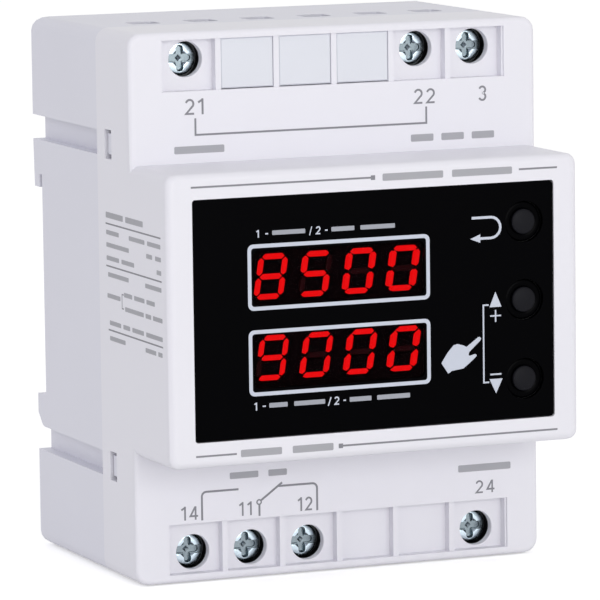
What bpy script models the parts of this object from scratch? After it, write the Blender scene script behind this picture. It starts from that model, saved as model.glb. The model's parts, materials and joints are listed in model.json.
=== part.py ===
# Digital panel counter for a 35 mm mounting rail, four modules wide.
# Metres, +Z up, front towards -Y, origin at the middle of the bottom face.

import bpy
import bmesh
from math import cos, pi, radians, sin, tan
from mathutils import Matrix, Vector

MM = 0.001

# Enclosure
WIDTH = 72 * MM
HEIGHT = 90 * MM
DEPTH = 62 * MM
COVER_DEPTH = 31 * MM
PANEL_STEP = 16 * MM
PANEL_HEIGHT = 47.3 * MM
WALL = 1.8 * MM
PANEL_WALL = 3 * MM
CORNER_RADIUS = 2.3 * MM
SHOULDER_EDGE_RADIUS = 0.8 * MM
PANEL_CORNER_RADIUS = 1.7 * MM
PANEL_EDGE_RADIUS = 1.2 * MM
TOP_REAR_RADIUS = 2.5 * MM
BOTTOM_REAR_RADIUS = 1 * MM
FIT = 0.3 * MM

# How far a cutter runs past what it cuts, and how far two cuts' faces stay out of one plane
OVERSHOOT = 2 * MM
SKIN = 0.02 * MM
NEAR = 0.01 * MM

# Rail seat in the back
RAIL_RECESS = 4 * MM
RAIL_SEAT_BOTTOM = 26.3 * MM
RAIL_SEAT_HEIGHT = 35 * MM
RAIL_SHEET = 1 * MM
HOOK_SLOT_WIDTH = 1.2 * MM
HOOK_SLOT_DEPTH = 2.2 * MM
HOOK_SLANT = 0.4 * MM

# Side channels and the catches that run on from them into the cover
CHANNEL_DEPTH = 2.2 * MM
CHANNEL_HEIGHT = 4.1 * MM
UPPER_CHANNEL_FROM_TOP = 18.6 * MM
LOWER_CHANNEL_Z = 18.4 * MM
CHANNEL_FLARE = 2.2 * MM
CATCH_LENGTH = 6.3 * MM
CATCH_HEIGHT = 3.4 * MM
CATCH_NOSE_LENGTH = 2.4 * MM
CATCH_NOSE_HEIGHT = 1.7 * MM
CATCH_NOSE_FLAT = 1.8 * MM
CATCH_WINDOW_MARGIN = 0.7 * MM

# Terminal rows
POLES = 6
ROW_SIDE = 5.52 * MM
PITCH = (WIDTH - 2 * ROW_SIDE) / POLES
ROW_DEPTH = 0.4 * MM
ROW_MARGIN = 0.3 * MM
POCKET_DEPTH = 2 * MM
POCKET_RIB = 0.95 * MM
POCKET_NEAR = 1.35 * MM
POCKET_FAR = 9.7 * MM
POCKET_FLOOR = 1.6 * MM
SCREW_FROM_END = 4.65 * MM
BORE_RADIUS = 3.05 * MM
BORE_LIP = 1.5 * MM
BORE_RELIEF = 0.45 * MM
SLEEVE_WALL = 0.7 * MM
PLATE_SET_BACK = 0.05 * MM
PLATE_GAP = 0.15 * MM
PLATE_EDGE = 0.2 * MM
WIRE_HOLE = 5 * MM
WIRE_HOLE_RADIUS = 0.7 * MM
WIRE_FROM_SEAM = 6 * MM

# Clamp screws, rising clamps and contact tabs
HEAD_RADIUS = 2.7 * MM
HEAD_HEIGHT = 2.1 * MM
HEAD_EDGE = 0.35 * MM
HEAD_SET_BACK = 2.4 * MM
SHANK_RADIUS = 1.45 * MM
SLOT_WIDTH = 1.1 * MM
SLOT_DEPTH = 0.8 * MM
CROSS_LENGTH = 3.9 * MM
CROSS_WIDTH = 1.1 * MM
CROSS_DEPTH = 1.3 * MM
TERMINAL_WALL = 1.03 * MM
CLAMP_WIDTH = PITCH - 2 * TERMINAL_WALL - 3 * FIT
CLAMP_HEIGHT = 5 * MM
CLAMP_SIDE = 0.7 * MM
CLAMP_NUT = 1.8 * MM
CLAMP_BACK = 0.9 * MM
CLAMP_TRAVEL = 5.4 * MM
CLAMP_CORNER = 0.6 * MM
TAB_THICKNESS = 0.8 * MM
TAB_WIDTH = CLAMP_WIDTH - 2 * (CLAMP_SIDE + FIT)
TAB_REACH = 5.6 * MM
PIN_WIDTH = 1.2 * MM
PIN_PROUD = 1 * MM
BODY_LEDGE = 1.5 * MM
BODY_FAR = 11.8 * MM

# Face plate, display windows and push buttons
FACE_MARGIN_X = 4.5 * MM
FACE_MARGIN_Z = 4.3 * MM
FACE_WIDTH = WIDTH - 2 * FACE_MARGIN_X
FACE_HEIGHT = PANEL_HEIGHT - 2 * FACE_MARGIN_Z
FACE_THICKNESS = 0.8 * MM
FACE_SET_BACK = 0.1 * MM
FACE_CORNER = 0.5 * MM
WINDOW_LAP_X = 0.1 * MM
WINDOW_LAP_Z = 0.55 * MM
WINDOW_CORNER = 1.1 * MM
WINDOW_GAP = 0.12 * MM
BUTTON_INSET = 5.15 * MM
BUTTON_X = FACE_WIDTH / 2 - BUTTON_INSET
BUTTON_RISES = {"mode": 12.9 * MM, "up": 0.1 * MM, "down": -12.9 * MM}
BUTTON_TIP_RADIUS = 2.05 * MM
BUTTON_TIP_HEIGHT = 0.7 * MM
BUTTON_DOME = 0.4 * MM
BUTTON_RADIUS = 3.1 * MM
BUTTON_FLANGE_RADIUS = 4.2 * MM
BUTTON_FLANGE = 0.8 * MM
BUTTON_TRAVEL = 0.25 * MM
SWITCH_SIDE = 6 * MM
SWITCH_HEIGHT = 3.4 * MM
PLUNGER_RADIUS = 1.7 * MM
PLUNGER_SEAT = 0.7 * MM

# Displays
DISPLAY_INSET = 10 * MM
DISPLAY_RISES = {"upper": 6.4 * MM, "lower": -7.05 * MM}
DISPLAY_TRIM = 0.14 * MM
DISPLAY_HEIGHT = 10 * MM
DISPLAY_DEPTH = 7.9 * MM
DISPLAY_FACE = 3 * MM
DISPLAY_WALL = 0.8 * MM
DIGITS = 4
DIGIT_PITCH = 7.62 * MM
DIGIT_HEIGHT = 7.3 * MM
DIGIT_WIDTH = 5 * MM
DIGIT_SLANT = radians(9)
SEGMENT_WIDTH = 0.85 * MM
SEGMENT_END_GAP = 0.24 * MM
SEGMENT_CLEARANCE = 0.1 * MM
SEGMENT_SET_BACK = 0.05 * MM

# Boards and what stands on them
BOARD_THICKNESS = 1.6 * MM
BOARD_CORNER = 1 * MM
MAIN_BOARD_FROM_SEAM = 12 * MM
MAIN_BOARD_MARGIN = 2.4 * MM
MAIN_BOARD_SIDE = 0.5 * MM
DISPLAY_BOARD_MARGIN = 0.9 * MM
POST_RADIUS = 2.8 * MM
POST_PIN_RADIUS = 1.2 * MM
POST_PIN_PROUD = 1.2 * MM
POST_INSET = 5.9 * MM
POST_FROM_SEAT = 2 * MM
FRONT_POST_RADIUS = 1.6 * MM
FRONT_PIN_RADIUS = 0.8 * MM
FRONT_POST_INSET = 2.2 * MM
RISER_INSET = 4.6 * MM
RISER_FROM_POST = 2.5 * MM
RISER_NOTCH = 3 * MM
MOULDED_EDGE = 0.6 * MM
RELAY_SIZE = (19 * MM, 15.3 * MM, 15.5 * MM)
RELAY_AT = (-10 * MM, 27.5 * MM)
FILM_CAPACITOR_SIZE = (18 * MM, 15 * MM, 8.5 * MM)
FILM_CAPACITOR_AT = (10 * MM, 57 * MM)
ELECTROLYTIC_RADIUS = 5 * MM
ELECTROLYTIC_HEIGHT = 16 * MM
ELECTROLYTIC_AT = (-8 * MM, 55 * MM)
CAN_RIM = 0.6 * MM
VARISTOR_RADIUS = 5.5 * MM
VARISTOR_THICKNESS = 4.2 * MM
VARISTOR_AT = (25.5 * MM, 56.5 * MM)
VARISTOR_LEG = 0.8 * MM
RECTIFIER_RADIUS = 4.5 * MM
RECTIFIER_HEIGHT = 5.5 * MM
RECTIFIER_AT = (10 * MM, 44 * MM)
OPTOCOUPLER_SIZE = (9.5 * MM, 3.6 * MM, 6.4 * MM)
OPTOCOUPLER_AT = (20 * MM, 22 * MM)
CONTROLLER_SIZE = (34.5 * MM, 3.6 * MM, 7.5 * MM)
CONTROLLER_AT = (-4 * MM, 45 * MM)

# Rail clip and its spring
CLIP_WIDTH = 16 * MM
CLIP_TONGUE = 1.6 * MM
CLIP_TONGUE_THICKNESS = 1.2 * MM
CLIP_TONGUE_INSET = 1 * MM
CLIP_SET_IN = 0.3 * MM
CLIP_THICKNESS = 2.8 * MM
CLIP_TRAVEL = 4 * MM
CLIP_FLOOR_GAP = 1 * MM
CLIP_BITE = 1.3 * MM
CLIP_NOSE_LEAD = 1.5 * MM
CLIP_NOSE_FLAT = 0.6 * MM
CLIP_EDGE = 0.5 * MM
CLIP_WINDOW_WIDTH = 4.4 * MM
CLIP_WINDOW_BOTTOM = 9.5 * MM
CLIP_WINDOW_HEIGHT = 12.5 * MM
CLIP_SLOT = (5 * MM, 1.8 * MM)
SPRING_SEAT_HEIGHT = 2.2 * MM
SPRING_RADIUS = 1.1 * MM
SPRING_WIRE = 0.4 * MM
SPRING_TURNS = 6

# Sides of the round shapes
BORE_SIDES = 18
SCREW_SIDES = 14
BUTTON_SIDES = 16
CAN_SIDES = 18
POST_SIDES = 12
PIN_SIDES = 8
SPRING_SIDES = 9

# Planes that follow from the sizes
FRONT_Y = -DEPTH / 2
REAR_Y = DEPTH / 2
SHOULDER_Y = FRONT_Y + PANEL_STEP
SEAM_Y = FRONT_Y + COVER_DEPTH
WIRE_Y = SEAM_Y + WIRE_FROM_SEAM
MAIN_BOARD_Y = SEAM_Y + MAIN_BOARD_FROM_SEAM
RAIL_Y = REAR_Y - RAIL_RECESS
PANEL_MIDDLE = HEIGHT / 2
PANEL_BOTTOM = PANEL_MIDDLE - PANEL_HEIGHT / 2
PANEL_TOP = PANEL_MIDDLE + PANEL_HEIGHT / 2
UPPER_CHANNEL_Z = HEIGHT - UPPER_CHANNEL_FROM_TOP
BUTTON_HEIGHTS = {name: PANEL_MIDDLE + rise for name, rise in BUTTON_RISES.items()}
DISPLAY_WIDTH = DIGITS * DIGIT_PITCH - 2 * DISPLAY_TRIM
DISPLAY_X = DISPLAY_INSET + (DISPLAY_WIDTH - FACE_WIDTH) / 2
DISPLAY_HEIGHTS = {name: PANEL_MIDDLE + rise for name, rise in DISPLAY_RISES.items()}
WINDOW_WIDTH = DISPLAY_WIDTH - 2 * WINDOW_LAP_X
WINDOW_HEIGHT = DISPLAY_HEIGHT - 2 * WINDOW_LAP_Z
INNER_X = WIDTH / 2 - WALL
CHANNEL_X = WIDTH / 2 - CHANNEL_DEPTH
CHANNEL_INNER_X = CHANNEL_X - WALL
MAIN_BOARD_WIDTH = 2 * (CHANNEL_INNER_X - MAIN_BOARD_SIDE)
POST_X = INNER_X - POST_INSET
POST_LOW = RAIL_SEAT_BOTTOM + POST_FROM_SEAT
POST_HIGH = RAIL_SEAT_BOTTOM + RAIL_SEAT_HEIGHT - POST_FROM_SEAT
RISER_X = RISER_INSET - INNER_X
PANEL_INNER_Y = FRONT_Y + PANEL_WALL
FACE_Y = FRONT_Y + FACE_SET_BACK
FACE_BACK_Y = FACE_Y + FACE_THICKNESS
FACE_SEAT_Y = FACE_BACK_Y + FIT
BUTTON_HOLE_RADIUS = BUTTON_RADIUS + FIT
FLANGE_Y = PANEL_INNER_Y + FIT
FLANGE_BACK_Y = FLANGE_Y + BUTTON_FLANGE
DISPLAY_Y = FACE_SEAT_Y
DISPLAY_BOARD_Y = DISPLAY_Y + DISPLAY_DEPTH + FIT
SWITCH_BACK_Y = DISPLAY_BOARD_Y - FIT
SWITCH_Y = SWITCH_BACK_Y - SWITCH_HEIGHT
POCKET_FLOOR_Y = SHOULDER_Y + POCKET_DEPTH
POCKET_BACK_Y = POCKET_FLOOR_Y + POCKET_FLOOR
HEAD_Y = POCKET_FLOOR_Y + HEAD_SET_BACK
HEAD_BACK_Y = HEAD_Y + HEAD_HEIGHT
BODY_Y = HEAD_BACK_Y + FIT
BODY_BACK_Y = MAIN_BOARD_Y - FIT
BODY_NEAR = WALL + FIT
CLAMP_MOUTH = CLAMP_TRAVEL + FIT
CLAMP_MOUTH_Y = WIRE_Y - CLAMP_MOUTH / 2
TAB_Y = CLAMP_MOUTH_Y - TAB_THICKNESS
CLAMP_Y = TAB_Y - FIT - CLAMP_NUT
CLAMP_BACK_Y = CLAMP_MOUTH_Y + CLAMP_MOUTH + CLAMP_BACK
REAR_INNER_Y = RAIL_Y - WALL
CLIP_BACK_Y = REAR_Y - CLIP_SET_IN
CLIP_Y = CLIP_BACK_Y - CLIP_THICKNESS
NOSE_Y = RAIL_Y + RAIL_SHEET + FIT
CLIP_BOTTOM = CLIP_FLOOR_GAP + CLIP_TRAVEL
CLIP_NOSE_TOP = RAIL_SEAT_BOTTOM + HOOK_SLOT_DEPTH + CLIP_BITE
SPRING_SEAT_Z = CLIP_WINDOW_BOTTOM + FIT + SPRING_SEAT_HEIGHT
CLIP_WINDOW_TOP = CLIP_WINDOW_BOTTOM + CLIP_WINDOW_HEIGHT

TERMINALS = {
    "upper_left": ("upper", (1,)),
    "upper_right": ("upper", (5, 6)),
    "lower_left": ("lower", (1, 2, 3)),
    "lower_right": ("lower", (6,)),
}
BLANKED = (2, 3, 4)

for old in list(bpy.data.objects):
    bpy.data.objects.remove(old, do_unlink=True)

parts = bpy.data.collections.new("panel_counter")
cutters = bpy.data.collections.new("cutters")
bpy.context.scene.collection.children.link(parts)
bpy.context.scene.collection.children.link(cutters)


def material(name, colour, roughness, metallic=0.0):
    made = bpy.data.materials.new(name)
    made.use_nodes = True
    shader = made.node_tree.nodes["Principled BSDF"]
    shader.inputs["Base Color"].default_value = (*colour, 1)
    shader.inputs["Roughness"].default_value = roughness
    shader.inputs["Metallic"].default_value = metallic
    made.diffuse_color = (*colour, 1)
    return made


WHITE_PLASTIC = material("white_plastic", (0.78, 0.78, 0.83), 0.45)
GREY_PLASTIC = material("grey_plastic", (0.62, 0.63, 0.68), 0.5)
BLACK_GLOSS = material("black_gloss", (0.01, 0.01, 0.012), 0.12)
BLACK_PLASTIC = material("black_plastic", (0.03, 0.03, 0.035), 0.5)
TINTED_WINDOW = material("tinted_window", (0.05, 0.01, 0.01), 0.08)
RED_EPOXY = material("red_epoxy", (0.8, 0.02, 0.01), 0.3)
ZINC_STEEL = material("zinc_steel", (0.7, 0.76, 0.8), 0.3, 1.0)
BRASS = material("tinned_brass", (0.75, 0.7, 0.55), 0.35, 1.0)
BOARD_GREEN = material("board_green", (0.02, 0.2, 0.09), 0.4)
RELAY_BLUE = material("relay_blue", (0.03, 0.12, 0.45), 0.4)
CAPACITOR_YELLOW = material("capacitor_yellow", (0.75, 0.6, 0.1), 0.4)
VARISTOR_BLUE = material("varistor_blue", (0.05, 0.15, 0.5), 0.5)
TERMINAL_GREY = material("terminal_grey", (0.35, 0.37, 0.4), 0.5)


# Making and combining shapes

def add_object(name, mesh, where):
    made = bpy.data.objects.new(name, mesh)
    where.objects.link(made)
    if where is cutters:
        made.hide_render = True
        made.display_type = "WIRE"
    return made


def box(name, low, high, where=parts):
    shape = bmesh.new()
    bmesh.ops.create_cube(shape, size=1)
    size = [b - a for a, b in zip(low, high)]
    middle = [(a + b) / 2 for a, b in zip(low, high)]
    shape.transform(Matrix.Translation(middle) @ Matrix.Diagonal((*size, 1)))
    mesh = bpy.data.meshes.new(name)
    shape.to_mesh(mesh)
    shape.free()
    return add_object(name, mesh, where)


def boxes(name, corner_pairs):
    shape = bmesh.new()
    for low, high in corner_pairs:
        size = [b - a for a, b in zip(low, high)]
        middle = [(a + b) / 2 for a, b in zip(low, high)]
        place = Matrix.Translation(middle) @ Matrix.Diagonal((*size, 1))
        bmesh.ops.create_cube(shape, size=1, matrix=place)
    mesh = bpy.data.meshes.new(name)
    shape.to_mesh(mesh)
    shape.free()
    return add_object(name, mesh, cutters)


def rods(name, centres, radius, start_y, end_y, sides):
    """Round bars along Y at each (x, z) centre."""
    shape = bmesh.new()
    turn = Matrix.Rotation(pi / 2, 4, "X")
    for x, z in centres:
        place = Matrix.Translation((x, (start_y + end_y) / 2, z)) @ turn
        bmesh.ops.create_cone(
            shape, cap_ends=True, segments=sides, radius1=radius, radius2=radius,
            depth=end_y - start_y, matrix=place)
    mesh = bpy.data.meshes.new(name)
    shape.to_mesh(mesh)
    shape.free()
    return add_object(name, mesh, cutters)


def round_edges(target, radius, steps, chosen):
    shape = bmesh.new()
    shape.from_mesh(target.data)
    edges = [e for e in shape.edges if chosen(*(v.co for v in e.verts))]
    bmesh.ops.bevel(shape, geom=edges, offset=radius, segments=steps, profile=0.5,
                    affect="EDGES")
    shape.to_mesh(target.data)
    shape.free()


def arc_corner(before, corner, after, radius, steps):
    """Points of a rounded corner, from the side of before to the side of after."""
    to_before = (before - corner).normalized()
    to_after = (after - corner).normalized()
    half = to_before.angle(to_after) / 2
    middle = corner + (to_before + to_after).normalized() * (radius / sin(half))
    first = corner + to_before * (radius / tan(half)) - middle
    last = corner + to_after * (radius / tan(half)) - middle
    sweep = first.angle_signed(last)
    turned = []
    for n in range(steps + 1):
        angle = -sweep * n / steps
        turned.append(middle + Matrix.Rotation(angle, 2) @ first)
    return turned


def outline(points, steps=4):
    """A closed outline. A third number on a point rounds that corner."""
    made = []
    for n, point in enumerate(points):
        corner = Vector(point[:2])
        if len(point) == 2:
            made.append(corner)
        else:
            before = Vector(points[n - 1][:2])
            after = Vector(points[(n + 1) % len(points)][:2])
            made += arc_corner(before, corner, after, point[2], steps)
    return made


def rounded_rectangle(middle, width, height, radius, steps=4):
    x, z = middle
    left, right = x - width / 2, x + width / 2
    low, high = z - height / 2, z + height / 2
    return outline([(left, low, radius), (right, low, radius),
                    (right, high, radius), (left, high, radius)], steps)


# A flat outline lies in a curve's own XY plane and is extruded along its Z
ALONG_X = Matrix(((0, 0, 1, 0), (1, 0, 0, 0), (0, 1, 0, 0), (0, 0, 0, 1)))
ALONG_Y = Matrix(((1, 0, 0, 0), (0, 0, -1, 0), (0, 1, 0, 0), (0, 0, 0, 1)))
ALONG_Z = Matrix.Identity(4)


def prism(name, outlines, along, start, end, where=parts):
    """Outlines filled and extruded along an axis. Their points are (y, z), (x, z) or (x, y)."""
    flat = bpy.data.curves.new(name, "CURVE")
    flat.dimensions = "2D"
    flat.fill_mode = "BOTH"
    flat.extrude = (end - start) / 2
    for points in outlines:
        spline = flat.splines.new("POLY")
        spline.points.add(len(points) - 1)
        spline.use_cyclic_u = True
        for place, point in zip(spline.points, points):
            place.co = (point[0], point[1], 0, 1)
    middle = (start + end) / 2
    if along is ALONG_Y:
        middle = -middle
    return mesh_from_curve(name, flat, along @ Matrix.Translation((0, 0, middle)), where)


def mesh_from_curve(name, curve, place, where):
    guide = bpy.data.objects.new(name + "_guide", curve)
    bpy.context.scene.collection.objects.link(guide)
    guide.matrix_world = place
    depsgraph = bpy.context.evaluated_depsgraph_get()
    mesh = bpy.data.meshes.new_from_object(guide.evaluated_get(depsgraph))
    shape = bmesh.new()
    shape.from_mesh(mesh)
    bmesh.ops.remove_doubles(shape, verts=shape.verts, dist=NEAR)
    shape.transform(place)
    bmesh.ops.recalc_face_normals(shape, faces=shape.faces)
    shape.to_mesh(mesh)
    shape.free()
    mesh.name = name
    bpy.data.objects.remove(guide)
    bpy.data.curves.remove(curve)
    return add_object(name, mesh, where)


def turned(name, profile, centre, sides):
    """A round piece whose axis points to the front. Its profile's points are (radius, y)."""
    mesh = bpy.data.meshes.new(name)
    points = [(radius, 0, -y) for radius, y in profile]
    mesh.from_pydata(points, [(n, n + 1) for n in range(len(points) - 1)], [])
    made = add_object(name, mesh, parts)
    made.location = (centre[0], 0, centre[1])
    made.rotation_euler = (pi / 2, 0, 0)
    screw = made.modifiers.new("turn", "SCREW")
    screw.steps = sides
    screw.render_steps = sides
    screw.use_merge_vertices = True
    screw.merge_threshold = NEAR
    screw.use_smooth_shade = False
    return made


def combine(target, other, operation):
    step = target.modifiers.new(operation.lower(), "BOOLEAN")
    step.operation = operation
    step.solver = "EXACT"
    step.object = other
    if other.name in parts.objects:
        parts.objects.unlink(other)
        cutters.objects.link(other)
    other.hide_render = True
    other.display_type = "WIRE"


def cut(target, *others):
    for other in others:
        combine(target, other, "DIFFERENCE")


def join(target, *others):
    for other in others:
        combine(target, other, "UNION")


def finish(target, surface):
    target.data.materials.clear()
    target.data.materials.append(surface)
    return target


def hang_at(target, point):
    """Puts a moving piece's origin on its joint's axis, leaving the piece where it is."""
    target.data.transform(Matrix.Translation(-Vector(point)))
    target.location = point


# Places along the terminal rows

def pole_x(pole):
    return (pole - (POLES + 1) / 2) * PITCH


def from_end(row, distance):
    return HEIGHT - distance if row == "upper" else distance


def row_box(row, x_range, y_range, end_range):
    """Corners of a box given by its distances from the row's end face."""
    heights = sorted(from_end(row, d) for d in end_range)
    return ((x_range[0], y_range[0], heights[0]), (x_range[1], y_range[1], heights[1]))


def used_poles():
    return [(row, pole) for row, poles in TERMINALS.values() for pole in poles]


# Front cover

def rounded_block(name, low, high, corner, edge):
    """A block with rounded corners seen from the front and a rounded front rim."""
    made = box(name, low, high)
    round_edges(made, corner, 4, lambda a, b: abs(a.y - b.y) > MM)
    round_edges(made, edge, 3, lambda a, b: max(a.y, b.y) < low[1] + NEAR)
    return made


def make_front_cover():
    cover = rounded_block(
        "front_cover", (-WIDTH / 2, SHOULDER_Y, 0), (WIDTH / 2, SEAM_Y, HEIGHT),
        CORNER_RADIUS, SHOULDER_EDGE_RADIUS)
    panel = rounded_block(
        "panel_block", (-WIDTH / 2, FRONT_Y, PANEL_BOTTOM),
        (WIDTH / 2, (SHOULDER_Y + SEAM_Y) / 2, PANEL_TOP), PANEL_CORNER_RADIUS, PANEL_EDGE_RADIUS)
    join(cover, panel)
    # The hollow steps forward behind the panel and back behind the terminal pockets
    thick = POCKET_FAR + WALL
    shoulder_inner = SHOULDER_Y + WALL
    open_y = SEAM_Y + OVERSHOOT
    hollow = [
        (open_y, WALL), (POCKET_BACK_Y, WALL), (POCKET_BACK_Y, thick), (shoulder_inner, thick),
        (shoulder_inner, PANEL_BOTTOM + WALL), (PANEL_INNER_Y, PANEL_BOTTOM + WALL),
        (PANEL_INNER_Y, PANEL_TOP - WALL), (shoulder_inner, PANEL_TOP - WALL),
        (shoulder_inner, HEIGHT - thick), (POCKET_BACK_Y, HEIGHT - thick),
        (POCKET_BACK_Y, HEIGHT - WALL), (open_y, HEIGHT - WALL)]
    cut(cover, prism("cover_hollow", [hollow], ALONG_X, -INNER_X, INNER_X, cutters))
    sleeves = [(pole_x(pole), from_end(row, SCREW_FROM_END)) for row, pole in used_poles()]
    sleeve_end = HEAD_BACK_Y - FIT
    join(cover, rods("sleeves", sleeves, BORE_RADIUS + BORE_RELIEF + SLEEVE_WALL,
                     POCKET_BACK_Y - POCKET_FLOOR / 2, sleeve_end, BORE_SIDES))
    post_end = DISPLAY_BOARD_Y - FIT
    join(cover, rods("front_posts", front_posts(), FRONT_POST_RADIUS,
                     PANEL_INNER_Y - PANEL_WALL / 3, post_end, POST_SIDES))
    join(cover, rods("front_pins", front_posts(), FRONT_PIN_RADIUS,
                     post_end - FIT, DISPLAY_BOARD_Y + BOARD_THICKNESS + PIN_PROUD, PIN_SIDES))
    # Row recesses, pockets and screw bores
    row_half = POLES * PITCH / 2 - POCKET_RIB / 2 + ROW_MARGIN
    cut(cover, boxes("row_recesses", [
        row_box(row, (-row_half, row_half), (SHOULDER_Y - OVERSHOOT, SHOULDER_Y + ROW_DEPTH),
                (POCKET_NEAR, POCKET_FAR)) for row in ("upper", "lower")]))
    pocket_half = (PITCH - POCKET_RIB) / 2
    cut(cover, boxes("pockets", [
        row_box(row, (pole_x(p) - pocket_half, pole_x(p) + pocket_half),
                (SHOULDER_Y - OVERSHOOT, POCKET_FLOOR_Y), (POCKET_NEAR + SKIN, POCKET_FAR - SKIN))
        for row in ("upper", "lower") for p in range(1, POLES + 1)]))
    cut(cover, rods("screw_bores", sleeves, BORE_RADIUS, SHOULDER_Y, sleeve_end, BORE_SIDES))
    cut(cover, rods("bore_reliefs", sleeves, BORE_RADIUS + BORE_RELIEF, POCKET_FLOOR_Y + BORE_LIP,
                    sleeve_end + OVERSHOOT, BORE_SIDES))
    # Face plate seat, display openings and button holes
    seat = rounded_rectangle((0, PANEL_MIDDLE), FACE_WIDTH + FIT, FACE_HEIGHT + FIT, FACE_CORNER)
    cut(cover, prism("face_seat", [seat], ALONG_Y, FRONT_Y - OVERSHOOT, FACE_SEAT_Y, cutters))
    cut(cover, boxes("display_openings", [
        ((DISPLAY_X - DISPLAY_WIDTH / 2 - FIT, FRONT_Y, z - DISPLAY_HEIGHT / 2 - FIT),
         (DISPLAY_X + DISPLAY_WIDTH / 2 + FIT, PANEL_INNER_Y + OVERSHOOT, z + DISPLAY_HEIGHT / 2 + FIT))
        for z in DISPLAY_HEIGHTS.values()]))
    cut(cover, rods("button_holes", [(BUTTON_X, z) for z in BUTTON_HEIGHTS.values()],
                    BUTTON_HOLE_RADIUS, FRONT_Y, PANEL_INNER_Y + OVERSHOOT, BORE_SIDES))
    cut(cover, boxes("catch_windows", catch_windows()))
    return finish(cover, WHITE_PLASTIC)


def front_posts():
    x = INNER_X - FRONT_POST_INSET
    low = PANEL_BOTTOM + WALL + FRONT_POST_INSET
    high = PANEL_TOP - WALL - FRONT_POST_INSET
    return [(-x, low), (x, low), (-x, high), (x, high)]


def catch_windows():
    far_y = SEAM_Y - CATCH_LENGTH - FIT
    near_y = SEAM_Y - CATCH_LENGTH + CATCH_NOSE_LENGTH + FIT
    half = CATCH_HEIGHT / 2 + CATCH_WINDOW_MARGIN
    made = []
    for z in (UPPER_CHANNEL_Z, LOWER_CHANNEL_Z):
        for x0, x1 in ((-WIDTH, OVERSHOOT - INNER_X), (INNER_X - OVERSHOOT, WIDTH)):
            made.append(((x0, far_y, z - half), (x1, near_y, z + half)))
    return made


# Rear housing

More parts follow.
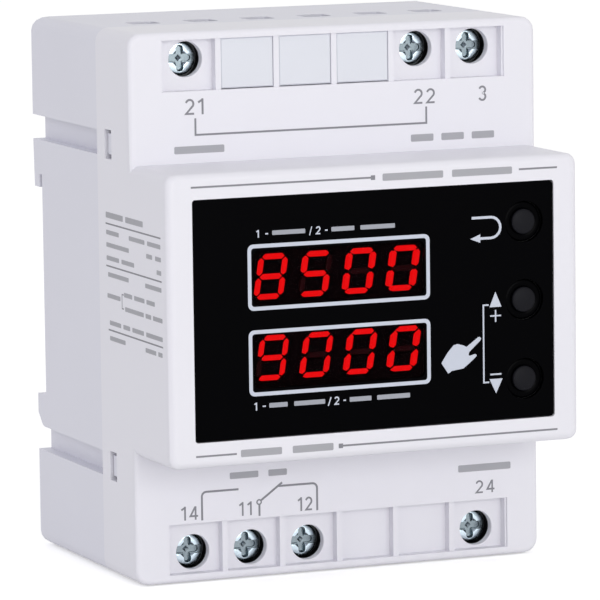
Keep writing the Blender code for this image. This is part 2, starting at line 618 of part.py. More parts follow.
def make_base_housing():
    seat_top = RAIL_SEAT_BOTTOM + RAIL_SEAT_HEIGHT
    slot_top = seat_top + HOOK_SLOT_DEPTH
    slot_back = RAIL_Y + HOOK_SLOT_WIDTH
    side = outline([
        (SEAM_Y, 0), (REAR_Y, 0, BOTTOM_REAR_RADIUS), (REAR_Y, RAIL_SEAT_BOTTOM - HOOK_SLANT),
        (RAIL_Y, RAIL_SEAT_BOTTOM), (RAIL_Y, slot_top), (slot_back, slot_top),
        (slot_back, seat_top), (REAR_Y - HOOK_SLANT, seat_top),
        (REAR_Y, UPPER_CHANNEL_Z - CHANNEL_HEIGHT / 2), (REAR_Y, HEIGHT, TOP_REAR_RADIUS),
        (SEAM_Y, HEIGHT)])
    base = prism("base_housing", [side], ALONG_X, -WIDTH / 2, WIDTH / 2)
    front = rounded_rectangle((0, HEIGHT / 2), WIDTH, HEIGHT, CORNER_RADIUS)
    combine(base, prism("front_outline", [front], ALONG_Y, SEAM_Y - OVERSHOOT,
                        REAR_Y + OVERSHOOT, cutters), "INTERSECT")
    # The hollow, narrowed behind the side channels
    hook_inner = slot_top + WALL
    open_y = SEAM_Y - OVERSHOOT
    middle = [
        (open_y, WALL), (REAR_INNER_Y, WALL), (REAR_INNER_Y, hook_inner),
        (REAR_Y - WALL, hook_inner), (REAR_Y - WALL, HEIGHT - WALL - TOP_REAR_RADIUS / 2),
        (REAR_Y - WALL - TOP_REAR_RADIUS / 2, HEIGHT - WALL), (open_y, HEIGHT - WALL)]
    cut(base, prism("base_hollow", [middle], ALONG_X, -CHANNEL_INNER_X, CHANNEL_INNER_X, cutters))
    half = CHANNEL_HEIGHT / 2
    levels = [(WALL, LOWER_CHANNEL_Z - half - WALL),
              (LOWER_CHANNEL_Z + half + WALL, UPPER_CHANNEL_Z - half - WALL),
              (UPPER_CHANNEL_Z + half + WALL, HEIGHT - WALL)]
    cut(base, boxes("side_hollows", [
        ((-INNER_X, open_y, low), (INNER_X, REAR_INNER_Y - SKIN, high))
        for low, high in levels]))
    guide_wall = CLIP_WIDTH / 2 + CLIP_TONGUE + FIT + WALL
    foot_half = CHANNEL_INNER_X - SKIN
    cut(base, boxes("foot_hollows", [
        ((x0, REAR_INNER_Y - OVERSHOOT, WALL + SKIN), (x1, REAR_Y - WALL, levels[0][1] - SKIN))
        for x0, x1 in ((-foot_half, -guide_wall), (guide_wall, foot_half))]))
    cut(base, prism("side_channels_left", channel_outlines(), ALONG_X,
                    -WIDTH / 2 - OVERSHOOT, -CHANNEL_X, cutters))
    cut(base, prism("side_channels_right", channel_outlines(), ALONG_X,
                    CHANNEL_X, WIDTH / 2 + OVERSHOOT, cutters))
    for z in (LOWER_CHANNEL_Z, UPPER_CHANNEL_Z):
        for side_sign in (-1, 1):
            join(base, make_catch(side_sign, z))
    join(base, rods("rear_posts", rear_posts(), POST_RADIUS,
                    MAIN_BOARD_Y + BOARD_THICKNESS + FIT, REAR_INNER_Y + WALL / 2, POST_SIDES))
    join(base, rods("rear_pins", rear_posts(), POST_PIN_RADIUS,
                    MAIN_BOARD_Y - POST_PIN_PROUD, MAIN_BOARD_Y + BOARD_THICKNESS + 2 * FIT,
                    PIN_SIDES))
    holes = []
    for pole in range(1, POLES + 1):
        holes.append(rounded_rectangle((pole_x(pole), WIRE_Y), WIRE_HOLE, WIRE_HOLE,
                                       WIRE_HOLE_RADIUS, 2))
    cut(base, prism("top_wire_holes", holes, ALONG_Z, HEIGHT - WALL - OVERSHOOT,
                    HEIGHT + OVERSHOOT, cutters))
    cut(base, prism("bottom_wire_holes", holes, ALONG_Z, -OVERSHOOT, WALL + OVERSHOOT, cutters))
    # Guide for the rail clip, with the spring's seat standing in it
    clip_half = CLIP_WIDTH / 2 + FIT
    tongue_half = clip_half + CLIP_TONGUE
    floor = CLIP_Y - FIT
    guide_top = RAIL_SEAT_BOTTOM + OVERSHOOT
    cut(base, box("clip_guide", (-clip_half, floor, -OVERSHOOT),
                  (clip_half, REAR_Y + OVERSHOOT, guide_top), cutters))
    cut(base, box("tongue_guide", (-tongue_half, floor + SKIN, -OVERSHOOT),
                  (tongue_half, CLIP_Y + CLIP_TONGUE_THICKNESS + FIT, guide_top), cutters))
    seat_half = CLIP_WINDOW_WIDTH / 2 - FIT
    join(base, box("spring_seat", (-seat_half, floor - WALL / 2, CLIP_WINDOW_BOTTOM + FIT),
                   (seat_half, CLIP_BACK_Y - FIT, SPRING_SEAT_Z)))
    return finish(base, WHITE_PLASTIC)


def channel_outlines():
    """The two side channels. The lower one flares under the rail seat's lip."""
    half = CHANNEL_HEIGHT / 2
    front = SEAM_Y - OVERSHOOT
    back = REAR_Y + OVERSHOOT
    low = LOWER_CHANNEL_Z
    lower = outline([
        (front, low - half), (back, low - half), (back, low + half + CHANNEL_FLARE + OVERSHOOT),
        (REAR_Y - CHANNEL_FLARE, low + half, CHANNEL_FLARE), (front, low + half)])
    upper = outline([
        (front, UPPER_CHANNEL_Z - half), (back, UPPER_CHANNEL_Z - half),
        (back, UPPER_CHANNEL_Z + half), (front, UPPER_CHANNEL_Z + half)])
    return [lower, upper]


def make_catch(side_sign, z):
    """A snap catch that carries a side channel's wall forward into the cover."""
    tip = SEAM_Y - CATCH_LENGTH
    nose_back = tip + CATCH_NOSE_LENGTH
    points = [
        (CHANNEL_INNER_X, SEAM_Y + WALL), (CHANNEL_X, SEAM_Y + WALL), (CHANNEL_X, nose_back),
        (CHANNEL_X + CATCH_NOSE_HEIGHT, nose_back),
        (CHANNEL_X + CATCH_NOSE_HEIGHT, nose_back - CATCH_NOSE_FLAT),
        (CHANNEL_X, tip), (CHANNEL_INNER_X, tip)]
    points = [(side_sign * x, y) for x, y in points][::side_sign]
    return prism("catch", [outline(points)], ALONG_Z,
                 z - CATCH_HEIGHT / 2, z + CATCH_HEIGHT / 2)


def rear_posts():
    return [(x, z) for x in (-POST_X, POST_X) for z in (POST_LOW, POST_HIGH)]


# Face plate, windows and buttons

def make_face():
    plate = prism("face_plate", [rounded_rectangle((0, PANEL_MIDDLE), FACE_WIDTH, FACE_HEIGHT,
                                                   FACE_CORNER)], ALONG_Y, FACE_Y, FACE_BACK_Y)
    holes = []
    for z in DISPLAY_HEIGHTS.values():
        holes.append(rounded_rectangle((DISPLAY_X, z), WINDOW_WIDTH, WINDOW_HEIGHT, WINDOW_CORNER))
    cut(plate, prism("window_holes", holes, ALONG_Y, FACE_Y - OVERSHOOT,
                     FACE_BACK_Y + OVERSHOOT, cutters))
    cut(plate, rods("plate_button_holes", [(BUTTON_X, z) for z in BUTTON_HEIGHTS.values()],
                    BUTTON_HOLE_RADIUS, FACE_Y - OVERSHOOT, FACE_BACK_Y + OVERSHOOT, BORE_SIDES))
    finish(plate, BLACK_GLOSS)
    for name, z in DISPLAY_HEIGHTS.items():
        pane = rounded_rectangle((DISPLAY_X, z), WINDOW_WIDTH - 2 * WINDOW_GAP,
                                 WINDOW_HEIGHT - 2 * WINDOW_GAP, WINDOW_CORNER - WINDOW_GAP)
        finish(prism(name + "_window", [pane], ALONG_Y, FACE_Y, FACE_BACK_Y), TINTED_WINDOW)


def make_button(name, z):
    tip = BUTTON_TIP_RADIUS
    shoulder = FRONT_Y + BUTTON_TIP_HEIGHT
    dome = [(tip * sin(turn), FRONT_Y + BUTTON_DOME * (1 - cos(turn)))
            for turn in (0, pi / 4, 3 * pi / 8, pi / 2)]
    cap = turned(name + "_button", dome + [
        (tip, shoulder), (BUTTON_RADIUS, shoulder),
        (BUTTON_RADIUS, FLANGE_Y), (BUTTON_FLANGE_RADIUS, FLANGE_Y),
        (BUTTON_FLANGE_RADIUS, FLANGE_BACK_Y), (0, FLANGE_BACK_Y)], (BUTTON_X, z), BUTTON_SIDES)
    finish(cap, BLACK_PLASTIC)
    plunger_y = FLANGE_BACK_Y + FIT
    plunger_back = SWITCH_Y + PLUNGER_SEAT
    plunger = turned(name + "_plunger", [
        (0, plunger_y), (PLUNGER_RADIUS, plunger_y), (PLUNGER_RADIUS, plunger_back),
        (0, plunger_back)], (BUTTON_X, z), BUTTON_SIDES)
    finish(plunger, BLACK_PLASTIC)
    half = SWITCH_SIDE / 2
    switch = box(name + "_switch", (BUTTON_X - half, SWITCH_Y, z - half),
                 (BUTTON_X + half, SWITCH_BACK_Y, z + half))
    cut(switch, rods(name + "_switch_bore", [(BUTTON_X, z)], PLUNGER_RADIUS + FIT,
                     SWITCH_Y - OVERSHOOT, plunger_back + BUTTON_TRAVEL + FIT, BUTTON_SIDES))
    finish(switch, GREY_PLASTIC)


# Displays

def segment_outlines(z, spare):
    """The seven bars of each digit, sheared by the slant. spare widens each bar all round."""
    half_w = SEGMENT_WIDTH / 2
    x_bar = (DIGIT_WIDTH - SEGMENT_WIDTH) / 2
    z_bar = (DIGIT_HEIGHT - SEGMENT_WIDTH) / 2
    flats = [(-x_bar, x_bar, level) for level in (z_bar, 0, -z_bar)]
    uprights = [(low, low + z_bar, x) for low in (0, -z_bar) for x in (-x_bar, x_bar)]
    made = []
    for digit in range(DIGITS):
        centre = DISPLAY_X + (digit - (DIGITS - 1) / 2) * DIGIT_PITCH
        for start, end, level in flats:
            made.append([(centre + x, y) for x, y in bar(start, end, level, half_w, spare)])
        for start, end, level in uprights:
            points = [(centre + x, y) for y, x in bar(start, end, level, half_w, spare)]
            made.append(points[::-1])
    lean = tan(DIGIT_SLANT)
    return [[Vector((x + y * lean, y + z)) for x, y in points] for points in made]


def bar(start, end, level, half_w, spare):
    """A six-sided bar with pointed ends, from start to end at a level."""
    start = start + SEGMENT_END_GAP - spare
    end = end - SEGMENT_END_GAP + spare
    half = half_w + spare / 2
    return [(start, level), (start + half, level - half), (end - half, level - half),
            (end, level), (end - half, level + half), (start + half, level + half)]


def make_display(name, z):
    x0 = DISPLAY_X - DISPLAY_WIDTH / 2
    x1 = DISPLAY_X + DISPLAY_WIDTH / 2
    z0 = z - DISPLAY_HEIGHT / 2
    z1 = z + DISPLAY_HEIGHT / 2
    back = DISPLAY_Y + DISPLAY_DEPTH
    face_back = DISPLAY_Y + DISPLAY_FACE
    shell = box(name + "_display", (x0, DISPLAY_Y, z0), (x1, back, z1))
    wall = DISPLAY_WALL
    cut(shell, box(name + "_display_hollow", (x0 + wall, face_back, z0 + wall),
                   (x1 - wall, back + OVERSHOOT, z1 - wall), cutters))
    cut(shell, prism(name + "_light_wells", segment_outlines(z, SEGMENT_CLEARANCE), ALONG_Y,
                     DISPLAY_Y - OVERSHOOT, face_back + OVERSHOOT, cutters))
    finish(shell, BLACK_PLASTIC)
    room = wall + SEGMENT_CLEARANCE
    fill = box(name + "_segments", (x0 + room, face_back + SEGMENT_CLEARANCE, z0 + room),
               (x1 - room, back, z1 - room))
    join(fill, prism(name + "_bars", segment_outlines(z, 0), ALONG_Y,
                     DISPLAY_Y + SEGMENT_SET_BACK, face_back + OVERSHOOT, cutters))
    finish(fill, RED_EPOXY)


# Boards

def make_boards():
    x = INNER_X - DISPLAY_BOARD_MARGIN
    low = PANEL_BOTTOM + WALL + DISPLAY_BOARD_MARGIN
    high = PANEL_TOP - WALL - DISPLAY_BOARD_MARGIN
    plan = rounded_rectangle((0, (low + high) / 2), 2 * x, high - low, BOARD_CORNER, 2)
    board = prism("display_board", [plan], ALONG_Y, DISPLAY_BOARD_Y,
                  DISPLAY_BOARD_Y + BOARD_THICKNESS)
    cut(board, rods("display_board_holes", front_posts(), FRONT_PIN_RADIUS + FIT,
                    DISPLAY_BOARD_Y - OVERSHOOT, DISPLAY_BOARD_Y + BOARD_THICKNESS + OVERSHOOT,
                    PIN_SIDES))
    finish(board, BOARD_GREEN)
    plan = rounded_rectangle((0, HEIGHT / 2), MAIN_BOARD_WIDTH, HEIGHT - 2 * MAIN_BOARD_MARGIN,
                             BOARD_CORNER, 2)
    main = prism("main_board", [plan], ALONG_Y, MAIN_BOARD_Y, MAIN_BOARD_Y + BOARD_THICKNESS)
    cut(main, rods("main_board_holes", rear_posts(), POST_PIN_RADIUS + FIT,
                   MAIN_BOARD_Y - OVERSHOOT, MAIN_BOARD_Y + BOARD_THICKNESS + OVERSHOOT,
                   PIN_SIDES))
    slot = PIN_WIDTH / 2 + FIT
    cut(main, boxes("contact_slots", [
        row_box(row, (pole_x(p) - slot, pole_x(p) + slot),
                (MAIN_BOARD_Y - OVERSHOOT, MAIN_BOARD_Y + BOARD_THICKNESS + OVERSHOOT),
                (tab_end() - TAB_THICKNESS - FIT, tab_end() + FIT))
        for row, p in used_poles()]))
    finish(main, BOARD_GREEN)
    # The riser carries the signals between the two boards
    front = DISPLAY_BOARD_Y + BOARD_THICKNESS + FIT
    back = MAIN_BOARD_Y - FIT
    bottom = POST_LOW + RISER_FROM_POST
    top = POST_HIGH - RISER_FROM_POST
    notch = RISER_NOTCH
    riser = outline([
        (front, bottom), (back, bottom), (back, top), (front + notch, top),
        (front + notch, top - notch), (front, top - notch)])
    half = BOARD_THICKNESS / 2
    finish(prism("riser_board", [riser], ALONG_X, RISER_X - half, RISER_X + half), BOARD_GREEN)


def component_box(name, size, at, surface):
    """A moulded component that stands on the front of the main board."""
    width, depth, height = size
    made = box(name, (at[0] - width / 2, MAIN_BOARD_Y - FIT - depth, at[1] - height / 2),
               (at[0] + width / 2, MAIN_BOARD_Y - FIT, at[1] + height / 2))
    front = MAIN_BOARD_Y - FIT - depth
    round_edges(made, MOULDED_EDGE, 2, lambda a, b: min(a.y, b.y) < front + NEAR)
    finish(made, surface)


def make_components():
    component_box("relay", RELAY_SIZE, RELAY_AT, RELAY_BLUE)
    component_box("film_capacitor", FILM_CAPACITOR_SIZE, FILM_CAPACITOR_AT, CAPACITOR_YELLOW)
    component_box("optocoupler", OPTOCOUPLER_SIZE, OPTOCOUPLER_AT, BLACK_PLASTIC)
    back = MAIN_BOARD_Y - FIT
    top = back - ELECTROLYTIC_HEIGHT
    rim = CAN_RIM
    finish(turned("electrolytic_capacitor", [
        (0, top + rim / 2), (ELECTROLYTIC_RADIUS - 2 * rim, top + rim / 2),
        (ELECTROLYTIC_RADIUS - rim, top), (ELECTROLYTIC_RADIUS, top + rim),
        (ELECTROLYTIC_RADIUS, back - 3 * rim), (ELECTROLYTIC_RADIUS - rim / 2, back - 2 * rim),
        (ELECTROLYTIC_RADIUS, back - rim), (ELECTROLYTIC_RADIUS, back), (0, back)],
        ELECTROLYTIC_AT, CAN_SIDES), BLACK_PLASTIC)
    top = back - RECTIFIER_HEIGHT
    finish(turned("bridge_rectifier", [
        (0, top), (RECTIFIER_RADIUS - rim, top), (RECTIFIER_RADIUS, top + rim),
        (RECTIFIER_RADIUS, back), (0, back)], RECTIFIER_AT, CAN_SIDES), BLACK_PLASTIC)
    make_varistor()
    width, depth, height = CONTROLLER_SIZE
    front = DISPLAY_BOARD_Y + BOARD_THICKNESS + FIT
    x, z = CONTROLLER_AT
    chip = box("microcontroller", (x - width / 2, front, z - height / 2),
               (x + width / 2, front + depth, z + height / 2))
    round_edges(chip, MOULDED_EDGE, 1, lambda a, b: min(a.y, b.y) > front + depth - NEAR)
    finish(chip, BLACK_PLASTIC)


def make_varistor():
    """A dipped disc that stands on two wire legs."""
    x, z = VARISTOR_AT
    half = VARISTOR_THICKNESS / 2
    middle_y = MAIN_BOARD_Y - FIT - VARISTOR_RADIUS - 2 * VARISTOR_LEG
    points = []
    for n in range(CAN_SIDES):
        angle = 2 * pi * n / CAN_SIDES
        points.append((middle_y + VARISTOR_RADIUS * sin(angle), z + VARISTOR_RADIUS * cos(angle)))
    disc = prism("varistor", [points[::-1]], ALONG_X, x - half, x + half)
    legs = [(x, z + side * VARISTOR_RADIUS / 2) for side in (-1, 1)]
    join(disc, rods("varistor_legs", legs, VARISTOR_LEG / 2, middle_y + VARISTOR_RADIUS / 2,
                    MAIN_BOARD_Y - FIT, PIN_SIDES))
    finish(disc, VARISTOR_BLUE)


# Terminals

def tab_end():
    """How far from the row's end face the contact tab's leg lies."""
    return SCREW_FROM_END + TAB_REACH


def make_terminal_body(name, row, poles):
    spare = FIT / 2
    x0 = pole_x(poles[0]) - PITCH / 2 + spare
    x1 = pole_x(poles[-1]) + PITCH / 2 - spare
    low, high = row_box(row, (x0, x1), (BODY_Y, BODY_BACK_Y), (BODY_NEAR, BODY_FAR))
    body = box(name + "_terminal_body", low, high)
    far_end = SCREW_FROM_END + CLAMP_HEIGHT / 2 + FIT
    clamp_half = CLAMP_WIDTH / 2 + FIT
    tab_half = TAB_WIDTH / 2 + FIT
    wells = []
    tab_slots = []
    leg_slots = []
    bores = []
    for pole in poles:
        x = pole_x(pole)
        wells.append(row_box(row, (x - clamp_half, x + clamp_half),
                             (BODY_Y + BODY_LEDGE, CLAMP_BACK_Y + FIT), (0, far_end)))
        tab_slots.append(row_box(row, (x - tab_half, x + tab_half),
                                 (TAB_Y - FIT, TAB_Y + TAB_THICKNESS + FIT),
                                 (far_end - OVERSHOOT, tab_end() + FIT)))
        leg_slots.append(row_box(row, (x - tab_half + SKIN, x + tab_half - SKIN),
                                 (TAB_Y, BODY_BACK_Y + OVERSHOOT),
                                 (tab_end() - TAB_THICKNESS - FIT, tab_end() + FIT - SKIN)))
        bores.append((x, from_end(row, SCREW_FROM_END)))
    cut(body, boxes(name + "_clamp_wells", wells))
    cut(body, boxes(name + "_tab_slots", tab_slots))
    cut(body, boxes(name + "_leg_slots", leg_slots))
    cut(body, rods(name + "_screw_bores", bores, SHANK_RADIUS + FIT,
                   BODY_Y - OVERSHOOT, BODY_Y + BODY_LEDGE + OVERSHOOT, SCREW_SIDES))
    finish(body, TERMINAL_GREY)


def make_contact(row, pole):
    """A tab that the wire is pressed against, bent back to its pin in the main board."""
    x = pole_x(pole)
    half = TAB_WIDTH / 2
    back = TAB_Y + TAB_THICKNESS
    near = SCREW_FROM_END - CLAMP_HEIGHT / 2 + FIT
    end = tab_end()
    bend = [(TAB_Y, near), (back, near), (back, end - TAB_THICKNESS),
            (BODY_BACK_Y, end - TAB_THICKNESS), (BODY_BACK_Y, end), (TAB_Y, end)]
    points = [(y, from_end(row, distance)) for y, distance in bend]
    if row == "upper":
        points = points[::-1]
    tab = prism(f"contact_{row}_{pole}", [outline(points)], ALONG_X, x - half, x + half)
    low, high = row_box(row, (x - PIN_WIDTH / 2, x + PIN_WIDTH / 2),
                        (BODY_BACK_Y - OVERSHOOT, MAIN_BOARD_Y + BOARD_THICKNESS + PIN_PROUD),
                        (end - TAB_THICKNESS, end))
    join(tab, box(f"pin_{row}_{pole}", low, high))
    finish(tab, BRASS)


def make_clamp(row, pole):
    """A rising clamp: a loop whose front wall rides on the screw's thread."""
    x = pole_x(pole)
    z = from_end(row, SCREW_FROM_END)
    half = CLAMP_WIDTH / 2
    low = z - CLAMP_HEIGHT / 2
    high = z + CLAMP_HEIGHT / 2
    loop = outline([
        (x - half, CLAMP_Y, CLAMP_CORNER), (x + half, CLAMP_Y, CLAMP_CORNER),
        (x + half, CLAMP_BACK_Y, CLAMP_CORNER), (x - half, CLAMP_BACK_Y, CLAMP_CORNER)], 2)
    clamp = prism(f"clamp_{row}_{pole}", [loop], ALONG_Z, low, high)
    inner = half - CLAMP_SIDE
    cut(clamp, box(f"clamp_mouth_{row}_{pole}", (x - inner, CLAMP_Y + CLAMP_NUT, low - OVERSHOOT),
                   (x + inner, CLAMP_BACK_Y - CLAMP_BACK, high + OVERSHOOT), cutters))
    cut(clamp, rods(f"clamp_thread_{row}_{pole}", [(x, z)], SHANK_RADIUS + FIT / 2,
                    CLAMP_Y - OVERSHOOT, CLAMP_Y + CLAMP_NUT + OVERSHOOT, SCREW_SIDES))
    hang_at(clamp, (x, CLAMP_Y, z))
    finish(clamp, ZINC_STEEL)


def make_screw(row, pole):
    x = pole_x(pole)
    z = from_end(row, SCREW_FROM_END)
    tip = TAB_Y - FIT
    screw = turned(f"screw_{row}_{pole}", [
        (0, HEAD_Y), (HEAD_RADIUS - HEAD_EDGE, HEAD_Y), (HEAD_RADIUS, HEAD_Y + HEAD_EDGE),
        (HEAD_RADIUS, HEAD_BACK_Y), (SHANK_RADIUS, HEAD_BACK_Y), (SHANK_RADIUS, tip - HEAD_EDGE),
        (SHANK_RADIUS - HEAD_EDGE, tip), (0, tip)], (x, z), SCREW_SIDES)
    front = HEAD_Y - OVERSHOOT
    slot_half = HEAD_RADIUS + OVERSHOOT
    cut(screw, box(f"slot_{row}_{pole}", (x - slot_half, front, z - SLOT_WIDTH / 2),
                   (x + slot_half, HEAD_Y + SLOT_DEPTH, z + SLOT_WIDTH / 2), cutters))
    cut(screw, box(f"cross_{row}_{pole}", (x - CROSS_WIDTH / 2, front, z - CROSS_LENGTH / 2),
                   (x + CROSS_WIDTH / 2, HEAD_Y + CROSS_DEPTH, z + CROSS_LENGTH / 2), cutters))
    finish(screw, ZINC_STEEL)


def make_blanking_plates():
    half = (PITCH - POCKET_RIB) / 2 - PLATE_GAP
    for pole in BLANKED:
        x = pole_x(pole)
        low, high = row_box("upper", (x - half, x + half),
                            (SHOULDER_Y + ROW_DEPTH + PLATE_SET_BACK, POCKET_FLOOR_Y - FIT),
                            (POCKET_NEAR + PLATE_GAP, POCKET_FAR - PLATE_GAP))
        plate = box(f"blanking_plate_{pole - BLANKED[0] + 1}", low, high)
        front = low[1]
        round_edges(plate, PLATE_EDGE, 1, lambda a, b: max(a.y, b.y) < front + NEAR)
        finish(plate, WHITE_PLASTIC)


# Rail clip

def make_rail_clip():
    half = CLIP_WIDTH / 2
    plate_top = RAIL_SEAT_BOTTOM - FIT
    side = outline([
        (CLIP_Y, CLIP_BOTTOM), (CLIP_BACK_Y, CLIP_BOTTOM, CLIP_EDGE),
        (CLIP_BACK_Y, CLIP_NOSE_TOP - CLIP_NOSE_LEAD), (NOSE_Y + CLIP_NOSE_FLAT, CLIP_NOSE_TOP),
        (NOSE_Y, CLIP_NOSE_TOP), (NOSE_Y, plate_top), (CLIP_Y, plate_top)])
    clip = prism("rail_clip", [side], ALONG_X, -half, half)
    tongue = half + CLIP_TONGUE
    join(clip, box("clip_tongues", (-tongue, CLIP_Y + SKIN, CLIP_BOTTOM + CLIP_TONGUE_INSET),
                   (tongue, CLIP_Y + CLIP_TONGUE_THICKNESS, plate_top - CLIP_TONGUE_INSET)))
    window = CLIP_WINDOW_WIDTH / 2
    front = CLIP_Y - OVERSHOOT
    back = CLIP_BACK_Y + OVERSHOOT
    cut(clip, box("clip_window", (-window, front, CLIP_WINDOW_BOTTOM),
                  (window, back, CLIP_WINDOW_TOP), cutters))
    slot_half = CLIP_SLOT[0] / 2
    slot_low = CLIP_BOTTOM + (CLIP_WINDOW_BOTTOM - CLIP_BOTTOM - CLIP_SLOT[1]) / 2
    cut(clip, box("driver_slot", (-slot_half, front, slot_low),
                  (slot_half, back, slot_low + CLIP_SLOT[1]), cutters))
    hang_at(clip, (0, CLIP_Y, CLIP_BOTTOM))
    finish(clip, GREY_PLASTIC)


def make_clip_spring():
    start = SPRING_SEAT_Z + FIT + SPRING_WIRE / 2
    end = CLIP_WINDOW_TOP - FIT - SPRING_WIRE / 2
    count = SPRING_TURNS * SPRING_SIDES + 1
    wire = bpy.data.curves.new("clip_spring", "CURVE")
    wire.dimensions = "3D"
    wire.bevel_depth = SPRING_WIRE / 2
    wire.bevel_resolution = 1
    wire.use_fill_caps = True
    spline = wire.splines.new("POLY")
    spline.points.add(count - 1)
    middle_y = (CLIP_Y + CLIP_BACK_Y) / 2
    for n, point in enumerate(spline.points):
        angle = 2 * pi * n / SPRING_SIDES
        z = start + (end - start) * n / (count - 1)
        point.co = (SPRING_RADIUS * cos(angle), middle_y + SPRING_RADIUS * sin(angle), z, 1)
    finish(mesh_from_curve("clip_spring", wire, Matrix.Identity(4), parts), ZINC_STEEL)


make_front_cover()
make_base_housing()
make_face()
for button, button_z in BUTTON_HEIGHTS.items():
    make_button(button, button_z)
for display, display_z in DISPLAY_HEIGHTS.items():
    make_display(display, display_z)
make_boards()
make_components()
for block, (block_row, block_poles) in TERMINALS.items():
    make_terminal_body(block, block_row, block_poles)
    for block_pole in block_poles:
        make_contact(block_row, block_pole)
        make_clamp(block_row, block_pole)
        make_screw(block_row, block_pole)
make_blanking_plates()
make_rail_clip()
make_clip_spring()
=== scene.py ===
# Looks of a rail-mounted panel counter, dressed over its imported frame.
# Metres: +X to the right, the front towards -Y, +Z up, the bottom face at Z 0.

import json
from math import cos, pi, radians, sin, tan
import bpy
from mathutils import Matrix, Vector


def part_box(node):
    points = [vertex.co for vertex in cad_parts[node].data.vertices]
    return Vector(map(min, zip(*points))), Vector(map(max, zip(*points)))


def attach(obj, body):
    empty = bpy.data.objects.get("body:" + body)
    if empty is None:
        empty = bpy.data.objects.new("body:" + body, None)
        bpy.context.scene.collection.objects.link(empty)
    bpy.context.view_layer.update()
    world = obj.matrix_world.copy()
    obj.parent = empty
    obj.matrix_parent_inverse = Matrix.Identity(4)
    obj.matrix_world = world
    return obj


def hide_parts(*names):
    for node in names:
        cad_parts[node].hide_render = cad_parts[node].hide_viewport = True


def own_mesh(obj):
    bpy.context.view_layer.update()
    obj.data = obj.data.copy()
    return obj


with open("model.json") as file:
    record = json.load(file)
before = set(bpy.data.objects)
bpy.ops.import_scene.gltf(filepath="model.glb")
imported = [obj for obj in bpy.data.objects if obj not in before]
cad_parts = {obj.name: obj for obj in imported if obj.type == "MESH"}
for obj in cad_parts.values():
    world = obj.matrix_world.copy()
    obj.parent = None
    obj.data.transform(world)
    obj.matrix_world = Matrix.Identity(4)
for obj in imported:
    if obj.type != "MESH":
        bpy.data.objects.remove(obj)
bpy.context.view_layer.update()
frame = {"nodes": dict(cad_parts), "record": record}  # bodies, nodes, joints and the record
nodes = frame["nodes"]
mm = 0.001
# points that lie closer than this become one
mergeWithin = {"node": 0.002 * mm, "piece": 0.001 * mm, "print": 0.0005 * mm}
print("frame loaded:", len(nodes), "nodes")


# Small helpers

def selectOnly(piece):
    bpy.ops.object.select_all(action="DESELECT")
    piece.select_set(True)
    bpy.context.view_layer.objects.active = piece


def applyAll(piece):
    selectOnly(piece)
    for modifier in list(piece.modifiers):
        bpy.ops.object.modifier_apply(modifier=modifier.name)


def softenEdges(piece, width, angle=30):
    bevel = piece.modifiers.new("edges", "BEVEL")
    bevel.width = width
    bevel.segments = 2
    bevel.limit_method = "ANGLE"
    bevel.angle_limit = radians(angle)
    bevel.use_clamp_overlap = True
    applyAll(piece)


def smoothFaces(piece, angle=35):
    selectOnly(piece)
    bpy.ops.object.shade_smooth_by_angle(angle=radians(angle))
    weighted = piece.modifiers.new("normals", "WEIGHTED_NORMAL")
    weighted.keep_sharp = True
    applyAll(piece)


def dress(piece, body, slotName, *replaced, finish=None):
    piece.data.materials.clear()
    piece.data.materials.append(finishes[finish or slotName])
    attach(piece, body)
    if replaced:
        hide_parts(*replaced)


def copyNode(nodeName, pieceName):
    # a node's loose triangles become one closed mesh, with its flat faces whole again
    piece = bpy.data.objects.new(pieceName, nodes[nodeName].data.copy())
    bpy.context.scene.collection.objects.link(piece)
    selectOnly(piece)
    bpy.ops.mesh.customdata_custom_splitnormals_clear()
    bpy.ops.object.mode_set(mode="EDIT")
    bpy.ops.mesh.select_all(action="SELECT")
    bpy.ops.mesh.remove_doubles(threshold=mergeWithin["node"])
    bpy.ops.mesh.dissolve_limited(angle_limit=radians(0.5))
    bpy.ops.object.mode_set(mode="OBJECT")
    return piece


def selectVerts(piece, test):
    # picks in object mode, so that edit mode opens on exactly these
    for face in piece.data.polygons:
        face.select = False
    for edge in piece.data.edges:
        edge.select = False
    for vert in piece.data.vertices:
        vert.select = test(vert.co)


def axisOf(nodeName):
    # where a turned node's axis, which runs along Y, stands in X and Z
    low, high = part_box(nodeName)
    return Vector(((low.x + high.x) / 2, (low.z + high.z) / 2))


def markFaces(piece, shadeAt):
    # how much painted shade each face gets, from 0 to 1, for the finishes that read it
    paintedShade = piece.data.attributes.new("paintedShade", "FLOAT", "FACE")
    for face in piece.data.polygons:
        paintedShade.data[face.index].value = shadeAt(face.center, face.normal)


# Finishes, all worked out from each piece's own coordinates

def wire(tree, source, output, target, socket):
    tree.links.new(source.outputs[output], target.inputs[socket])


def addNode(tree, kind, **inputs):
    made = tree.nodes.new("ShaderNode" + kind)
    for socket, value in inputs.items():
        made.inputs[socket.replace("_", " ")].default_value = value
    return made


def noiseOn(tree, coords, scale, detail, stretch=(1, 1, 1)):
    mapping = addNode(tree, "Mapping", Scale=stretch)
    noise = addNode(tree, "TexNoise", Scale=scale, Detail=detail)
    wire(tree, coords, "Object", mapping, "Vector")
    wire(tree, mapping, "Vector", noise, "Vector")
    return noise


surface = {"cloudDetail": 3.0, "grainDetail": 2.0, "reliefDepth": 0.03 * mm, "leastRough": 0.02}


